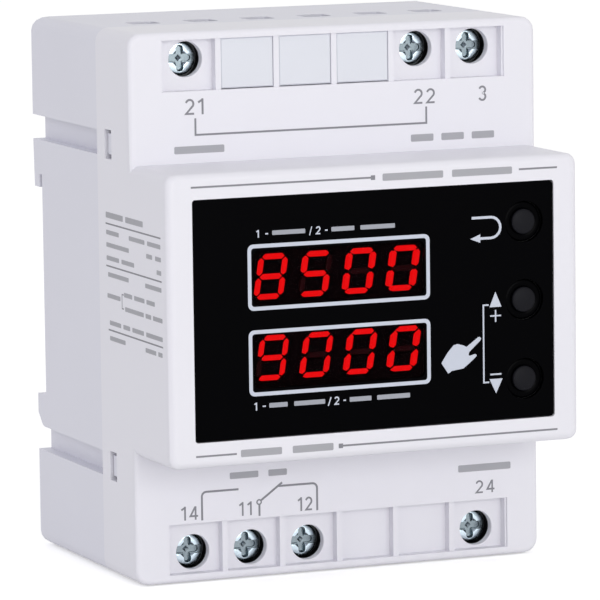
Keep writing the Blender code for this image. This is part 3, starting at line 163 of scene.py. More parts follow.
def makeFinish(name, colour, rough, spread=0.04, roughSpread=0.06, mottle=45, grain=2600,
               bump=0.06, stretch=(1, 1, 1), **shaderInputs):
    # spread is how far the tone strays; mottle and grain are the scales of clouds and grain
    made = bpy.data.materials.new(name)
    made.use_nodes = True
    tree = made.node_tree
    shader = tree.nodes["Principled BSDF"]
    coords = tree.nodes.new("ShaderNodeTexCoord")
    # cloudy tone, as moulded and plated surfaces have
    clouds = noiseOn(tree, coords, mottle, surface["cloudDetail"])
    tone = tree.nodes.new("ShaderNodeMix")
    tone.data_type = "RGBA"
    tone.inputs["A"].default_value = (*[c * (1 - spread) for c in colour], 1)
    tone.inputs["B"].default_value = (*[min(c * (1 + spread), 1) for c in colour], 1)
    wire(tree, clouds, "Fac", tone, "Factor")
    wire(tree, tone, "Result", shader, "Base Color")
    # fine grain in the gloss and the relief
    fine = noiseOn(tree, coords, grain, surface["grainDetail"], stretch)
    gloss = addNode(tree, "MapRange", To_Min=max(rough - roughSpread, surface["leastRough"]),
                    To_Max=min(rough + roughSpread, 1))
    wire(tree, fine, "Fac", gloss, "Value")
    wire(tree, gloss, "Result", shader, "Roughness")
    relief = addNode(tree, "Bump", Strength=bump, Distance=surface["reliefDepth"])
    wire(tree, fine, "Fac", relief, "Height")
    wire(tree, relief, "Normal", shader, "Normal")
    for socket, value in shaderInputs.items():
        shader.inputs[socket.replace("_", " ")].default_value = value
    made.diffuse_color = (*colour, 1)
    return made


def makeBoard(name, colour, track):
    # paler tracks cross the board, as a grid of thin joints
    made = makeFinish(name, colour, 0.32, bump=0.03)
    tree = made.node_tree
    coords = next(n for n in tree.nodes if n.type == "TEX_COORD")
    tone = next(n for n in tree.nodes if n.type == "MIX")
    shader = tree.nodes["Principled BSDF"]
    turn = addNode(tree, "Mapping", Rotation=(pi / 2, 0, 0))
    bricks = addNode(tree, "TexBrick", Scale=90, Mortar_Size=0.05, Mortar_Smooth=0.2,
                     Color1=(0, 0, 0, 1), Color2=(0, 0, 0, 1), Mortar=(1, 1, 1, 1))
    blend = tree.nodes.new("ShaderNodeMix")
    blend.data_type = "RGBA"
    blend.inputs["B"].default_value = (*track, 1)
    wire(tree, coords, "Object", turn, "Vector")
    wire(tree, turn, "Vector", bricks, "Vector")
    wire(tree, bricks, "Color", blend, "Factor")
    wire(tree, tone, "Result", blend, "A")
    wire(tree, blend, "Result", shader, "Base Color")
    return made


def makeMetal(name, colour, rough, stretch=(1, 1, 1), spread=0.12, **shaderInputs):
    return makeFinish(name, colour, rough, spread, roughSpread=0.1, mottle=260, grain=1500,
                      bump=0.12, stretch=stretch, Metallic=1.0, **shaderInputs)


def darkenHollows(made, shadeColour):
    # painted shade: a face marked with painted shade goes towards the shade colour
    tree = made.node_tree
    tone = next(n for n in tree.nodes if n.type == "MIX")
    marked = tree.nodes.new("ShaderNodeAttribute")
    marked.attribute_name = "paintedShade"
    blend = tree.nodes.new("ShaderNodeMix")
    blend.data_type = "RGBA"
    blend.inputs["B"].default_value = (*shadeColour, 1)
    wire(tree, marked, "Fac", blend, "Factor")
    wire(tree, tone, "Result", blend, "A")
    wire(tree, blend, "Result", tree.nodes["Principled BSDF"], "Base Color")


finishes = {
    "housing_white": makeFinish("housingWhite", (0.748, 0.746, 0.815), 0.46, spread=0.015,
                                Specular_IOR_Level=0.4),
    "cover_white": makeFinish("coverWhite", (0.80, 0.792, 0.845), 0.42, spread=0.012,
                              Specular_IOR_Level=0.4),
    "plate_white": makeFinish("plateWhite", (0.72, 0.735, 0.79), 0.42, spread=0.012,
                              Specular_IOR_Level=0.4),
    "face_black": makeFinish("faceBlack", (0.0004, 0.0004, 0.0008), 0.22, spread=0.1,
                             roughSpread=0.03, bump=0.02, Specular_IOR_Level=0.02),
    "window_tint": makeFinish("windowTint", (0.003, 0.0006, 0.0009), 0.16, spread=0.1,
                              roughSpread=0.02, bump=0.0, Alpha=0.3, Specular_IOR_Level=0.02),
    "button_black": makeFinish("buttonBlack", (0.0055, 0.0055, 0.008), 0.5, spread=0.08,
                               Specular_IOR_Level=0.1),
    "switch_grey": makeFinish("switchGrey", (0.3, 0.31, 0.33), 0.5),
    "display_shell": makeFinish("displayShell", (0.0045, 0.0022, 0.003), 0.6, spread=0.1,
                                bump=0.0, Specular_IOR_Level=0.0),
    "segment_lit": makeFinish("segmentLit", (0.2, 0.002, 0.003), 0.5, spread=0.05,
                              Specular_IOR_Level=0.05, Emission_Color=(1.0, 0.004, 0.005, 1),
                              Emission_Strength=1.5),
    "segment_off": makeFinish("segmentOff", (0.04, 0.003, 0.005), 0.5, spread=0.1,
                              Specular_IOR_Level=0.05),
    "board_green": makeBoard("boardGreen", (0.015, 0.16, 0.07), (0.03, 0.26, 0.11)),
    "relay_blue": makeFinish("relayBlue", (0.03, 0.12, 0.45), 0.35),
    "capacitor_yellow": makeFinish("capacitorYellow", (0.72, 0.56, 0.09), 0.35),
    "varistor_blue": makeFinish("varistorBlue", (0.05, 0.15, 0.5), 0.3, mottle=120, bump=0.2),
    "chip_black": makeFinish("chipBlack", (0.025, 0.025, 0.03), 0.55, spread=0.08),
    "terminal_grey": makeFinish("terminalGrey", (0.33, 0.35, 0.38), 0.5),
    "tinned_brass": makeMetal("tinnedBrass", (0.75, 0.7, 0.55), 0.35),
    "zinc_steel": makeMetal("zincSteel", (0.7, 0.74, 0.78), 0.32, stretch=(1, 1, 4)),
    "screw_zinc": makeMetal("screwZinc", (0.66, 0.77, 0.84), 0.24, spread=0.2),
    "spring_steel": makeMetal("springSteel", (0.6, 0.6, 0.62), 0.25),
    "clip_grey": makeFinish("clipGrey", (0.60, 0.61, 0.66), 0.48, spread=0.03),
    "print_grey": makeFinish("printGrey", (0.22, 0.22, 0.245), 0.55, spread=0.1),
    "print_pale": makeFinish("printPale", (0.56, 0.595, 0.685), 0.5, spread=0.05),
    "words_grey": makeFinish("wordsGrey", (0.37, 0.37, 0.40), 0.55, spread=0.1),
    "words_pale": makeFinish("wordsPale", (0.33, 0.345, 0.39), 0.5, spread=0.08),
}
# painted shade in the cover's bores, button holes and plate seat, and on the screw heads' sides
# and recesses
darkenHollows(finishes["cover_white"], (0.004, 0.004, 0.005))
darkenHollows(finishes["screw_zinc"], (0.006, 0.02, 0.026))
slotOf = {part["node"]: part["material_slot"] for part in frame["record"]["subparts"]}
for name, node in nodes.items():
    node.data.materials.clear()
    node.data.materials.append(finishes[slotOf[name]])
print("finishes:", len(finishes))


# Mouldings: the solids' own forms, with the small radii that a mould leaves on each edge

mouldings = {
    "front_cover": ("cover_shell", 0.10 * mm),
    "base_housing": ("base_shell", 0.10 * mm),
    "face_plate": ("face_film", 0.06 * mm),
    "upper_window": ("upper_pane", 0.06 * mm),
    "lower_window": ("lower_pane", 0.06 * mm),
}
# where the cover's painted shade reaches
hole = {"screwReach": 3.75 * mm, "lipBack": -11.52 * mm, "buttonReach": 3.6 * mm,
        "seatGap": 0.3 * mm, "seatWithin": 0.05 * mm, "facesFront": -0.99}
keys = ("mode", "up", "down")
screwNames = [name for name in nodes if name.startswith("screw_")]
screwAxes = [axisOf(name) for name in screwNames]
buttonAxes = [axisOf(key + "_button") for key in keys]
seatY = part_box("face_plate")[1].y + hole["seatGap"]


def coverDepth(at, normal):
    # painted shade goes on the bores behind their lips, the button holes, and the seat that the
    # plate covers
    flat = Vector((at.x, at.z))
    inBore = at.y > hole["lipBack"] and any((flat - axis).length < hole["screwReach"]
                                            for axis in screwAxes)
    inHole = any((flat - axis).length < hole["buttonReach"] for axis in buttonAxes)
    onSeat = normal.y < hole["facesFront"] and abs(at.y - seatY) < hole["seatWithin"]
    return 1.0 if inBore or inHole or onSeat else 0.0


for nodeName, (pieceName, radius) in mouldings.items():
    moulding = copyNode(nodeName, pieceName)
    softenEdges(moulding, radius)
    smoothFaces(moulding)
    if nodeName == "front_cover":
        markFaces(moulding, coverDepth)
    dress(moulding, "housing", slotOf[nodeName], nodeName)

# the blanking plates fill their pockets, but for a gap under each
plate = {"wider": 0.24 * mm, "higher": 0.12 * mm, "edge": 0.06 * mm}
for n in (1, 2, 3):
    nodeName = "blanking_plate_" + str(n)
    low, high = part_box(nodeName)
    blank = copyNode(nodeName, "pocket_plate_" + str(n))
    bpy.ops.object.mode_set(mode="EDIT")
    bpy.ops.mesh.select_all(action="SELECT")
    bpy.ops.transform.resize(
        value=(1 + plate["wider"] / (high.x - low.x), 1, 1 + plate["higher"] / (high.z - low.z)),
        center_override=((low.x + high.x) / 2, low.y, low.z))
    bpy.ops.object.mode_set(mode="OBJECT")
    softenEdges(blank, plate["edge"])
    smoothFaces(blank)
    dress(blank, "housing", "cover_white", nodeName, finish="plate_white")

clipEdge = 0.15 * mm
clip = copyNode("rail_clip", "clip_slider")
softenEdges(clip, clipEdge)
smoothFaces(clip)
dress(clip, "clip", "clip_grey", "rail_clip")
print("mouldings done")


# Turned pieces grow ring by ring along Y from one circle, filled unless fill says otherwise

roundMiddle = 0.3  # where the middle of a rounded edge stands, as a share of its radius


def turnedPiece(name, centre, rings, sides=64, fill="NGON"):
    x, z = centre
    radius, y = rings[0]
    bpy.ops.object.select_all(action="DESELECT")
    bpy.ops.mesh.primitive_circle_add(vertices=sides, radius=radius, fill_type=fill,
                                      location=(x, y, z), rotation=(pi / 2, 0, 0))
    piece = bpy.context.object
    piece.name = name
    bpy.ops.object.transform_apply(location=True, rotation=True, scale=True)
    bpy.ops.object.mode_set(mode="EDIT")
    bpy.ops.mesh.select_all(action="SELECT")
    for nextRadius, nextY in rings[1:]:
        bpy.ops.mesh.extrude_region_move(TRANSFORM_OT_translate={"value": (0, nextY - y, 0)})
        grow = nextRadius / radius
        bpy.ops.transform.resize(value=(grow, 1, grow), center_override=(x, nextY, z))
        radius, y = nextRadius, nextY
    bpy.ops.mesh.select_all(action="SELECT")
    bpy.ops.mesh.remove_doubles(threshold=mergeWithin["piece"])
    bpy.ops.mesh.normals_make_consistent(inside=False)
    bpy.ops.object.mode_set(mode="OBJECT")
    return piece


# Push buttons: a domed dark grey tip that stands in a black collar

button = {"tipRadius": 2.05 * mm, "dome": 0.4 * mm, "domeSteps": 6, "domeFlat": 0.4,
          "tipHeight": 0.7 * mm, "tipGroove": 0.1 * mm, "tipFoot": 0.12 * mm,
          "tipSunk": 0.05 * mm, "collarRadius": 3.25 * mm, "collarEdge": 0.2 * mm,
          "flange": 0.8 * mm}


def makeButton(name):
    low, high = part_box(name + "_button")
    centre = ((low.x + high.x) / 2, (low.z + high.z) / 2)
    shoulder = low.y + button["tipHeight"]
    flangeY = high.y - button["flange"]
    inner, outer, edge = button["tipRadius"], button["collarRadius"], button["collarEdge"]
    middle = roundMiddle * edge
    collar = turnedPiece(name + "_collar", centre, [
        ((high.x - low.x) / 2, high.y), ((high.x - low.x) / 2, flangeY), (outer, flangeY),
        (outer, shoulder + edge), (outer - middle, shoulder + middle),
        (outer - edge, shoulder), (inner, shoulder),
        (inner - button["tipGroove"], shoulder + button["tipGroove"])])
    smoothFaces(collar, 50)
    dress(collar, name + "_key", "face_black", name + "_button")
    rings = [(inner - button["tipFoot"], shoulder + button["tipSunk"]),
             (inner, shoulder - button["tipSunk"]), (inner, low.y + button["dome"])]
    for n in range(1, button["domeSteps"] + 1):
        turn = pi / 2 * n / (button["domeSteps"] + button["domeFlat"])
        rings.append((inner * cos(turn), low.y + button["dome"] * (1 - sin(turn))))
    tip = turnedPiece(name + "_tip", centre, rings)
    smoothFaces(tip, 50)
    dress(tip, name + "_key", "button_black")


for key in keys:
    makeButton(key)
print("buttons done")


# Terminal screws: one is made with its cross recess and slot, and copied to each pole

screw = {"headRadius": 2.8 * mm, "headHeight": 2.1 * mm, "headEdge": 0.1 * mm,
         "crown": 0.1 * mm, "crownRings": ((0.4, 0), (0.72, 0.4)),  # shares of radius and crown
         "rim": 0.45 * mm, "rimSteps": 5, "edge": 0.05 * mm, "setBack": 2.4 * mm,
         "shankRadius": 1.45 * mm, "pitch": 0.5 * mm, "threadDepth": 0.2 * mm,
         "ridge": (0.1, 0.45, 0.6, 0.95),  # its foot, top, top's end and end, as shares of a pitch
         "plainEnd": 0.4 * mm, "point": 0.3 * mm,
         "slotWidth": 1.4 * mm, "slotDepth": 0.55 * mm,
         "wingLength": 4.9 * mm, "wingWidth": 1.45 * mm, "wingDepth": 0.85 * mm,
         "wingTaper": (0.78, 0.72), "wingRound": 0.64 * mm,
         "pitRadius": 2.1 * mm, "pitDepth": 1.3 * mm, "pitProud": 0.1 * mm,
         # the recess and side values below set the painted shade on the head
         "recessFrom": 0.2 * mm, "recessShade": 0.6,
         "sideFrom": 0.45 * mm, "sideWithin": 0.6, "sideShade": 0.97}


def cutWith(piece, cutter, operation="DIFFERENCE"):
    cut = piece.modifiers.new("cut", "BOOLEAN")
    cut.operation = operation
    cut.solver = "EXACT"
    cut.object = cutter
    applyAll(piece)
    bpy.data.objects.remove(cutter)


def crossCutter():
    # two tapered wings at right angles, with round ends, and a pointed pit where they meet
    wings = []
    for angle in (0, pi / 2):
        bpy.ops.object.select_all(action="DESELECT")
        bpy.ops.mesh.primitive_cube_add(size=1, location=(0, 0, 0))
        wing = bpy.context.object
        wing.dimensions = (screw["wingLength"], 2 * screw["wingDepth"], screw["wingWidth"])
        bpy.ops.object.transform_apply(location=True, rotation=False, scale=True)
        rounding = wing.modifiers.new("ends", "BEVEL")
        rounding.width = screw["wingRound"]
        rounding.segments = 5
        rounding.affect = "EDGES"
        rounding.limit_method = "WEIGHT"
        weights = wing.data.attributes.new("bevel_weight_edge", "FLOAT", "EDGE")
        for edge in wing.data.edges:
            start, end = [wing.data.vertices[v].co for v in edge.vertices]
            runsDeep = abs(start.y - end.y) > screw["wingDepth"]
            weights.data[edge.index].value = 1 if runsDeep else 0
        applyAll(wing)
        selectVerts(wing, lambda at: at.y > 0)
        bpy.ops.object.mode_set(mode="EDIT")
        narrow, thin = screw["wingTaper"]
        bpy.ops.transform.resize(value=(narrow, 1, thin), center_override=(0, 0, 0))
        bpy.ops.object.mode_set(mode="OBJECT")
        wing.data.transform(Matrix.Rotation(angle, 4, "Y"))
        wings.append(wing)
    cutWith(wings[0], wings[1], "UNION")
    bpy.ops.object.select_all(action="DESELECT")
    bpy.ops.mesh.primitive_cone_add(
        vertices=4, radius1=screw["pitRadius"], depth=screw["pitDepth"],
        location=(0, screw["pitDepth"] / 2 - screw["pitProud"], 0), rotation=(-pi / 2, 0, 0))
    pit = bpy.context.object
    bpy.ops.object.transform_apply(location=True, rotation=True, scale=True)
    cutWith(wings[0], pit, "UNION")
    return wings[0]


def screwDepth(at, normal):
    # painted shade: the head's side is darkened for the bore's shade, and the recess for its own
    across = Vector((at.x, at.z)).length
    if across > screw["headRadius"] - screw["rim"] * screw["sideWithin"]:
        return screw["sideShade"] if at.y > screw["sideFrom"] else 0.0
    return screw["recessShade"] if at.y > screw["recessFrom"] else 0.0


def makeScrewMaster(length):
    # its axis is the Y axis and its head's face is at Y 0
    crown, rim, head = screw["crown"], screw["rim"], screw["headRadius"]
    rings = [(head * out, crown * back) for out, back in screw["crownRings"]]
    rings.append((head - rim, crown))
    for n in range(1, screw["rimSteps"] + 1):
        turn = pi / 2 * n / screw["rimSteps"]
        rings.append((head - rim * (1 - sin(turn)), crown + rim * (1 - cos(turn))))
    y, edge = screw["headHeight"], screw["headEdge"]
    rings += [(head, y - edge), (head - edge, y)]
    # the shank's ridges, one for each pitch
    outer, step = screw["shankRadius"], screw["pitch"]
    core = outer - screw["threadDepth"]
    foot, top, topEnd, ridgeEnd = screw["ridge"]
    rings.append((core, y))
    while y + step < length - screw["plainEnd"]:
        rings += [(core, y + foot * step), (outer, y + top * step),
                  (outer, y + topEnd * step), (core, y + ridgeEnd * step)]
        y += step
    rings += [(core, length - screw["point"]), (core - screw["point"], length)]
    piece = turnedPiece("screw_master", (0, 0), rings, sides=48)
    bpy.ops.object.select_all(action="DESELECT")
    bpy.ops.mesh.primitive_cube_add(size=1, location=(0, 0, 0))
    slot = bpy.context.object
    slot.dimensions = (3 * head, 2 * screw["slotDepth"], screw["slotWidth"])  # past both rims
    bpy.ops.object.transform_apply(location=True, rotation=False, scale=True)
    cutWith(piece, slot)
    cutWith(piece, crossCutter())
    softenEdges(piece, screw["edge"], 35)
    smoothFaces(piece)
    markFaces(piece, screwDepth)
    return piece


# a thin round lining stands in each bore's mouth, a closed ring that ends where it began
lining = {"inner": 2.9 * mm, "outer": 3.3 * mm, "proud": 0.02 * mm, "sunk": 0.02 * mm,
          "depth": 1.4 * mm, "edge": 0.1 * mm}


def makeLining(name, axis, floorY):
    inner, outer, edge = lining["inner"], lining["outer"], lining["edge"]
    front, back = floorY - lining["proud"], floorY + lining["depth"]
    middle = roundMiddle * edge
    sleeve = turnedPiece(name, axis, [
        (inner, back), (inner, front + edge), (inner + middle, front + middle),
        (inner + edge, front), (outer - edge, front), (outer, floorY + lining["sunk"]),
        (outer, back), (inner, back)], fill="NOTHING")
    smoothFaces(sleeve, 50)
    dress(sleeve, "housing", "cover_white")


firstLow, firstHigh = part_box("screw_upper_1")
pocketFloorY = firstLow.y - screw["setBack"]
master = makeScrewMaster(firstHigh.y - firstLow.y)
for name in screwNames:
    low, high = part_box(name)
    copy = bpy.data.objects.new(name.replace("screw_", "zinc_screw_"), master.data.copy())
    bpy.context.scene.collection.objects.link(copy)
    copy.data.transform(Matrix.Translation(((low.x + high.x) / 2, low.y, (low.z + high.z) / 2)))
    row, pole = name.split("_")[1:]
    dress(copy, row + "_screw_" + pole, "screw_zinc", name)
    makeLining("bore_lining_" + row + "_" + pole, axisOf(name), pocketFloorY)
bpy.data.objects.remove(master)
print("screws done")


# Digit bars: seven a digit, lit or dark, each a bar with pointed ends

digits = {"shown": {"upper": "8500", "lower": "9000"}, "pitch": 7.72 * mm, "aside": 0.22 * mm,
          "lift": {"upper": 0, "lower": 0.35 * mm}, "height": 7.3 * mm,
          "width": 5 * mm, "bar": 0.87 * mm, "gap": 0.21 * mm, "slant": radians(9),
          "proud": 0.03 * mm, "depth": 1.2 * mm, "edge": 0.05 * mm}
litBars = {"0": "abcdef", "5": "acdfg", "8": "abcdefg", "9": "abcdfg"}


def addBar(centre, length, upright):
    # one hexagonal bar in the XZ plane, grown from a cube whose two ends are drawn to an edge
    half = digits["bar"] / 2
    bpy.ops.object.select_all(action="DESELECT")
    bpy.ops.mesh.primitive_cube_add(size=1, location=(0, 0, 0))
    bar = bpy.context.object
    bar.dimensions = (length - 2 * half, digits["depth"], 2 * half)
    bpy.ops.object.transform_apply(location=True, rotation=False, scale=True)
    for side in (-1, 1):
        selectVerts(bar, lambda at: side * at.x > 0)
        bpy.ops.object.mode_set(mode="EDIT")
        bpy.ops.mesh.extrude_region_move(TRANSFORM_OT_translate={"value": (side * half, 0, 0)})
        bpy.ops.transform.resize(value=(1, 1, 0), center_override=(side * length / 2, 0, 0))
        bpy.ops.mesh.remove_doubles(threshold=mergeWithin["piece"])
        bpy.ops.object.mode_set(mode="OBJECT")
    if upright:
        bar.data.transform(Matrix.Rotation(pi / 2, 4, "Y"))
    bar.data.transform(Matrix.Translation(centre))
    return bar


def joinPieces(pieces, name):
    bpy.ops.object.select_all(action="DESELECT")
    for piece in pieces:
        piece.select_set(True)
    bpy.context.view_layer.objects.active = pieces[0]
    bpy.ops.object.join()
    pieces[0].name = name
    return pieces[0]


def makeDigits(row):
    low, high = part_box(row + "_display")
    middle = (low + high) / 2
    reach = (digits["height"] - digits["bar"]) / 2
    across = (digits["width"] - digits["bar"]) / 2
    places = {"a": (0, reach, False), "g": (0, 0, False), "d": (0, -reach, False),
              "b": (across, reach / 2, True), "c": (across, -reach / 2, True),
              "f": (-across, reach / 2, True), "e": (-across, -reach / 2, True)}
    groups = {"lit": [], "dark": []}
    shown = digits["shown"][row]
    for n, figure in enumerate(shown):
        x = middle.x + digits["aside"] + (n - (len(shown) - 1) / 2) * digits["pitch"]
        for letter, (dx, dz, upright) in places.items():
            length = (reach if upright else 2 * across) - 2 * digits["gap"]
            bar = addBar((dx, 0, dz), length, upright)
            lean = Matrix.Identity(4)
            lean[0][2] = tan(digits["slant"])
            bar.data.transform(lean)
            front = low.y - digits["proud"] + digits["depth"] / 2
            bar.data.transform(Matrix.Translation((x, front, middle.z + digits["lift"][row])))
            groups["lit" if letter in litBars[figure] else "dark"].append(bar)
    lit = joinPieces(groups["lit"], row + "_lit_bars")
    softenEdges(lit, digits["edge"])
    dress(lit, "housing", "segment_lit", row + "_segments")
    dark = joinPieces(groups["dark"], row + "_dark_bars")
    softenEdges(dark, digits["edge"])
    dress(dark, "housing", "segment_off")


for row in ("upper", "lower"):
    makeDigits(row)
print("digits done")


# The clip's spring: a round wire wound about the seat's axis, with its ends closed

spring = {"wire": 0.4 * mm, "turns": 6, "steps": 28, "wireSides": 12}


def makeSpring():
    low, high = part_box("clip_spring")
    middle = (low + high) / 2
    radius = (high.x - low.x) / 2 - spring["wire"] / 2
    rise = high.z - low.z - spring["wire"]
    bpy.ops.object.select_all(action="DESELECT")
    bpy.ops.mesh.primitive_circle_add(vertices=spring["wireSides"], radius=spring["wire"] / 2,
                                      location=(radius, 0, 0), rotation=(pi / 2, 0, 0))
    coil = bpy.context.object
    coil.name = "spring_coil"
    bpy.ops.object.transform_apply(location=True, rotation=True, scale=True)
    wind = coil.modifiers.new("wind", "SCREW")
    wind.axis = "Z"
    wind.screw_offset = rise / spring["turns"]
    wind.iterations = spring["turns"]
    wind.steps = spring["steps"]
    wind.render_steps = spring["steps"]
    applyAll(coil)
    bpy.ops.object.mode_set(mode="EDIT")
    bpy.ops.mesh.select_all(action="SELECT")
    bpy.ops.mesh.fill_holes(sides=spring["wireSides"])
    bpy.ops.mesh.normals_make_consistent(inside=False)
    bpy.ops.object.mode_set(mode="OBJECT")
    coil.data.transform(Matrix.Translation((middle.x, middle.y, low.z + spring["wire"] / 2)))
    smoothFaces(coil, 60)
    dress(coil, "housing", "spring_steel", "clip_spring")
    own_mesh(coil)


makeSpring()
print("spring done")


# Print: thin flat shapes on each face, written in millimetres as (across, up).
# A shape is a list of outlines, its own one first and then the holes in it.

def rectangle(x0, x1, z0, z1):
    return [[(x0, z0), (x1, z0), (x1, z1), (x0, z1)]]


def arc(x, z, radius, start, end, steps=8):
    return [(x + radius * cos(radians(start + (end - start) * n / steps)),
             z + radius * sin(radians(start + (end - start) * n / steps)))
            for n in range(steps + 1)]


def roundedBar(x0, x1, z0, z1, radius):
    return [arc(x1 - radius, z1 - radius, radius, 0, 90, 4)
            + arc(x0 + radius, z1 - radius, radius, 90, 180, 4)
            + arc(x0 + radius, z0 + radius, radius, 180, 270, 4)
            + arc(x1 - radius, z0 + radius, radius, 270, 360, 4)]


def roundedFrame(x0, x1, z0, z1, radius, width):
    return (roundedBar(x0, x1, z0, z1, radius)
            + roundedBar(x0 + width, x1 - width, z0 + width, z1 - width, radius / 2))


sharpestMitre = 0.45  # below this cosine a corner's point grows no longer


def stroke(points, width):
    # the outline of a line of even width along some points, mitred at each corner
    sides = ([], [])
    for n, (x, z) in enumerate(points):
        before = points[max(n - 1, 0)]
        after = points[min(n + 1, len(points) - 1)]
        first = Vector((x - before[0], z - before[1]))
        second = Vector((after[0] - x, after[1] - z))
        first = (first if first.length else second).normalized()
        second = (second if second.length else first).normalized()
        normal = Vector((-first.y - second.y, first.x + second.x)).normalized()
        reach = width / 2 / max(normal.dot(Vector((-first.y, first.x))), sharpestMitre)
        sides[0].append((x + normal.x * reach, z + normal.y * reach))
        sides[1].append((x - normal.x * reach, z - normal.y * reach))
    return [sides[0] + sides[1][::-1]]


def ring(x, z, radius, width):
    # a point every 20 degrees; the outline closes itself
    return [arc(x, z, radius, 0, 340, 17), arc(x, z, radius - width, 0, 340, 17)]


# plain figures on a grid one unit high, each a list of lines
figureShape = {"wide": 0.62, "pitchShare": 0.86}
figureLines = {
    "1": [[(0.05, 0.75), (0.36, 0.93)], [(0.34, 0.99), (0.34, 0.0)]],
    "2": [arc(0.31, 0.68, 0.25, 165, -35, 9) + [(0.06, 0.06), (0.6, 0.06)]],
    "3": [arc(0.29, 0.72, 0.22, 160, -90, 8) + arc(0.29, 0.27, 0.23, 90, -160, 9)],
    "4": [[(0.43, 0.94), (0.04, 0.27), (0.64, 0.27)], [(0.45, 0.96), (0.45, 0.0)]],
}


def figures(text, x0, x1, z0, height, weight=0.13):
    # the figures share the width from x0 to x1 evenly, and stand on z0
    shapes = []
    pitch = (x1 - x0) / len(text)
    unit = figureShape["wide"]
    wide = min(pitch * figureShape["pitchShare"], height * unit) / unit
    for n, figure in enumerate(text):
        for line in figureLines[figure]:
            spot = x0 + pitch * (n + 0.5) - unit / 2 * wide
            shapes.append(stroke([(spot + x * wide, z0 + z * height) for x, z in line],
                                 weight * height))
    return shapes


# in letters: the space after a word and what it falls short; in heights: foot, head and corner
wordShape = {"space": 0.9, "short": 0.12, "foot": 0.22, "head": 0.78, "round": 0.1}


def wordBars(x0, x1, z0, height, words):
    # a plain bar for each word, so that the print has its weight and says nothing
    bars = []
    count = sum(words) + wordShape["space"] * (len(words) - 1)
    pitch = (x1 - x0) / count
    foot, head = z0 + wordShape["foot"] * height, z0 + wordShape["head"] * height
    x = x0
    for letters in words:
        wide = letters * pitch - wordShape["short"] * pitch
        bars.append(roundedBar(x, x + wide, foot, head, wordShape["round"] * height))
        x += (letters + wordShape["space"]) * pitch
    return bars


printThick = 0.02  # in millimetres, as the outlines are


def printOn(name, shapes, plane, slotName, finish=None):
    # plane turns the flat print and puts it on its face
    flats = []
    for n, outlines in enumerate(shapes):
        flat = bpy.data.curves.new(name, "CURVE")
        flat.dimensions = "2D"
        flat.fill_mode = "BOTH"
        flat.extrude = printThick / 2 * (1 + n % 4 / 8)  # so that no two that cross are level
        for points in outlines:
            spline = flat.splines.new("POLY")
            spline.points.add(len(points) - 1)
            spline.use_cyclic_u = True
            for place, point in zip(spline.points, points):
                place.co = (point[0], point[1], 0, 1)
        piece = bpy.data.objects.new(name, flat)
        bpy.context.scene.collection.objects.link(piece)
        flats.append(piece)
    bpy.ops.object.select_all(action="DESELECT")
    for piece in flats:
        piece.select_set(True)
    bpy.context.view_layer.objects.active = flats[0]
    bpy.ops.object.convert(target="MESH")
    piece = joinPieces(flats, name)
    piece.data.transform(plane @ Matrix.Translation((0, 0, printThick / 2 * mm))
                         @ Matrix.Scale(mm, 4))
    selectOnly(piece)
    bpy.ops.object.mode_set(mode="EDIT")
    bpy.ops.mesh.select_all(action="SELECT")
    bpy.ops.mesh.remove_doubles(threshold=mergeWithin["print"])
    bpy.ops.mesh.normals_make_consistent(inside=False)
    bpy.ops.object.mode_set(mode="OBJECT")
    dress(piece, "housing", slotName, finish=finish)


def facing(y):
    return Matrix.Translation((0, y, 0)) @ Matrix.Rotation(pi / 2, 4, "X")


stepDepth = 16 * mm  # from the frame round the face back to the two shoulders
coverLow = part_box("front_cover")[0]
facePlane = facing(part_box("face_plate")[0].y)
framePlane = facing(coverLow.y)
shoulderPlane = facing(coverLow.y + stepDepth)
sidePlane = (Matrix.Translation((coverLow.x, 0, 0)) @ Matrix.Rotation(-pi / 2, 4, "Z")
             @ Matrix.Rotation(pi / 2, 4, "X"))

upperPrint = (
    figures("21", -26.6, -22.3, 76.5, 2.6)
    + figures("22", 13.7, 18.1, 76.4, 2.5)
    + figures("3", 25.2, 27.6, 76.4, 2.5)
    + [stroke([(-24.58, 75.9), (-24.58, 73.2), (16.2, 73.2), (16.2, 75.9)], 0.32)])
upperWords = (wordBars(-28.3, -19.4, 69.75, 2.15, [5])
              + wordBars(13.4, 28.6, 69.75, 2.1, [3, 3, 3]))
printOn("upper_shoulder_print", upperPrint, shoulderPlane, "print_grey")
printOn("upper_shoulder_words", upperWords, shoulderPlane, "print_grey", "words_grey")

lowerPrint = (
    [stroke([(-24.45, 10.1)] + arc(-23.7, 14.0, 0.75, 180, 90, 5) + [(-18.0, 14.75)], 0.34),
     stroke([(-10.9, 14.75)] + arc(-4.9, 13.95, 0.8, 90, 0, 5) + [(-4.1, 10.2)], 0.34),
     stroke([(-14.36, 10.05), (-14.36, 11.9)], 0.34),
     stroke([(-14.0, 12.65), (-10.3, 15.3)], 0.34),
     ring(-14.4, 12.35, 0.5, 0.24)]
    + figures("14", -28.3, -25.1, 10.3, 2.3)
    + figures("11", -18.1, -15.2, 10.3, 2.3)
    + figures("12", -7.7, -4.9, 10.3, 2.3)
    + figures("24", 24.2, 28.3, 10.8, 2.2))
lowerWords = (wordBars(-19.5, -9.2, 16.1, 1.9, [3, 2])
              + wordBars(21.4, 31.2, 14.1, 2.1, [5]))
printOn("lower_shoulder_print", lowerPrint, shoulderPlane, "print_grey")
printOn("lower_shoulder_words", lowerWords, shoulderPlane, "print_grey", "words_grey")

framePrint = [rectangle(-31.8, -0.75, 66.35, 66.65), rectangle(-0.75, 0.0, 66.12, 66.87),
              rectangle(25.45, 32.3, 66.35, 66.65), rectangle(-31.6, -24.6, 23.2, 23.5),
              rectangle(-6.9, -6.15, 22.98, 23.72), rectangle(-6.15, 32.1, 23.2, 23.5)]
frameWords = (wordBars(1.3, 24.4, 65.4, 2.1, [7, 7])
              + wordBars(-23.9, -7.6, 22.3, 2.1, [4, 4]))
printOn("panel_frame_print", framePrint, framePlane, "print_grey")
printOn("panel_frame_words", frameWords, framePlane, "print_grey", "words_grey")

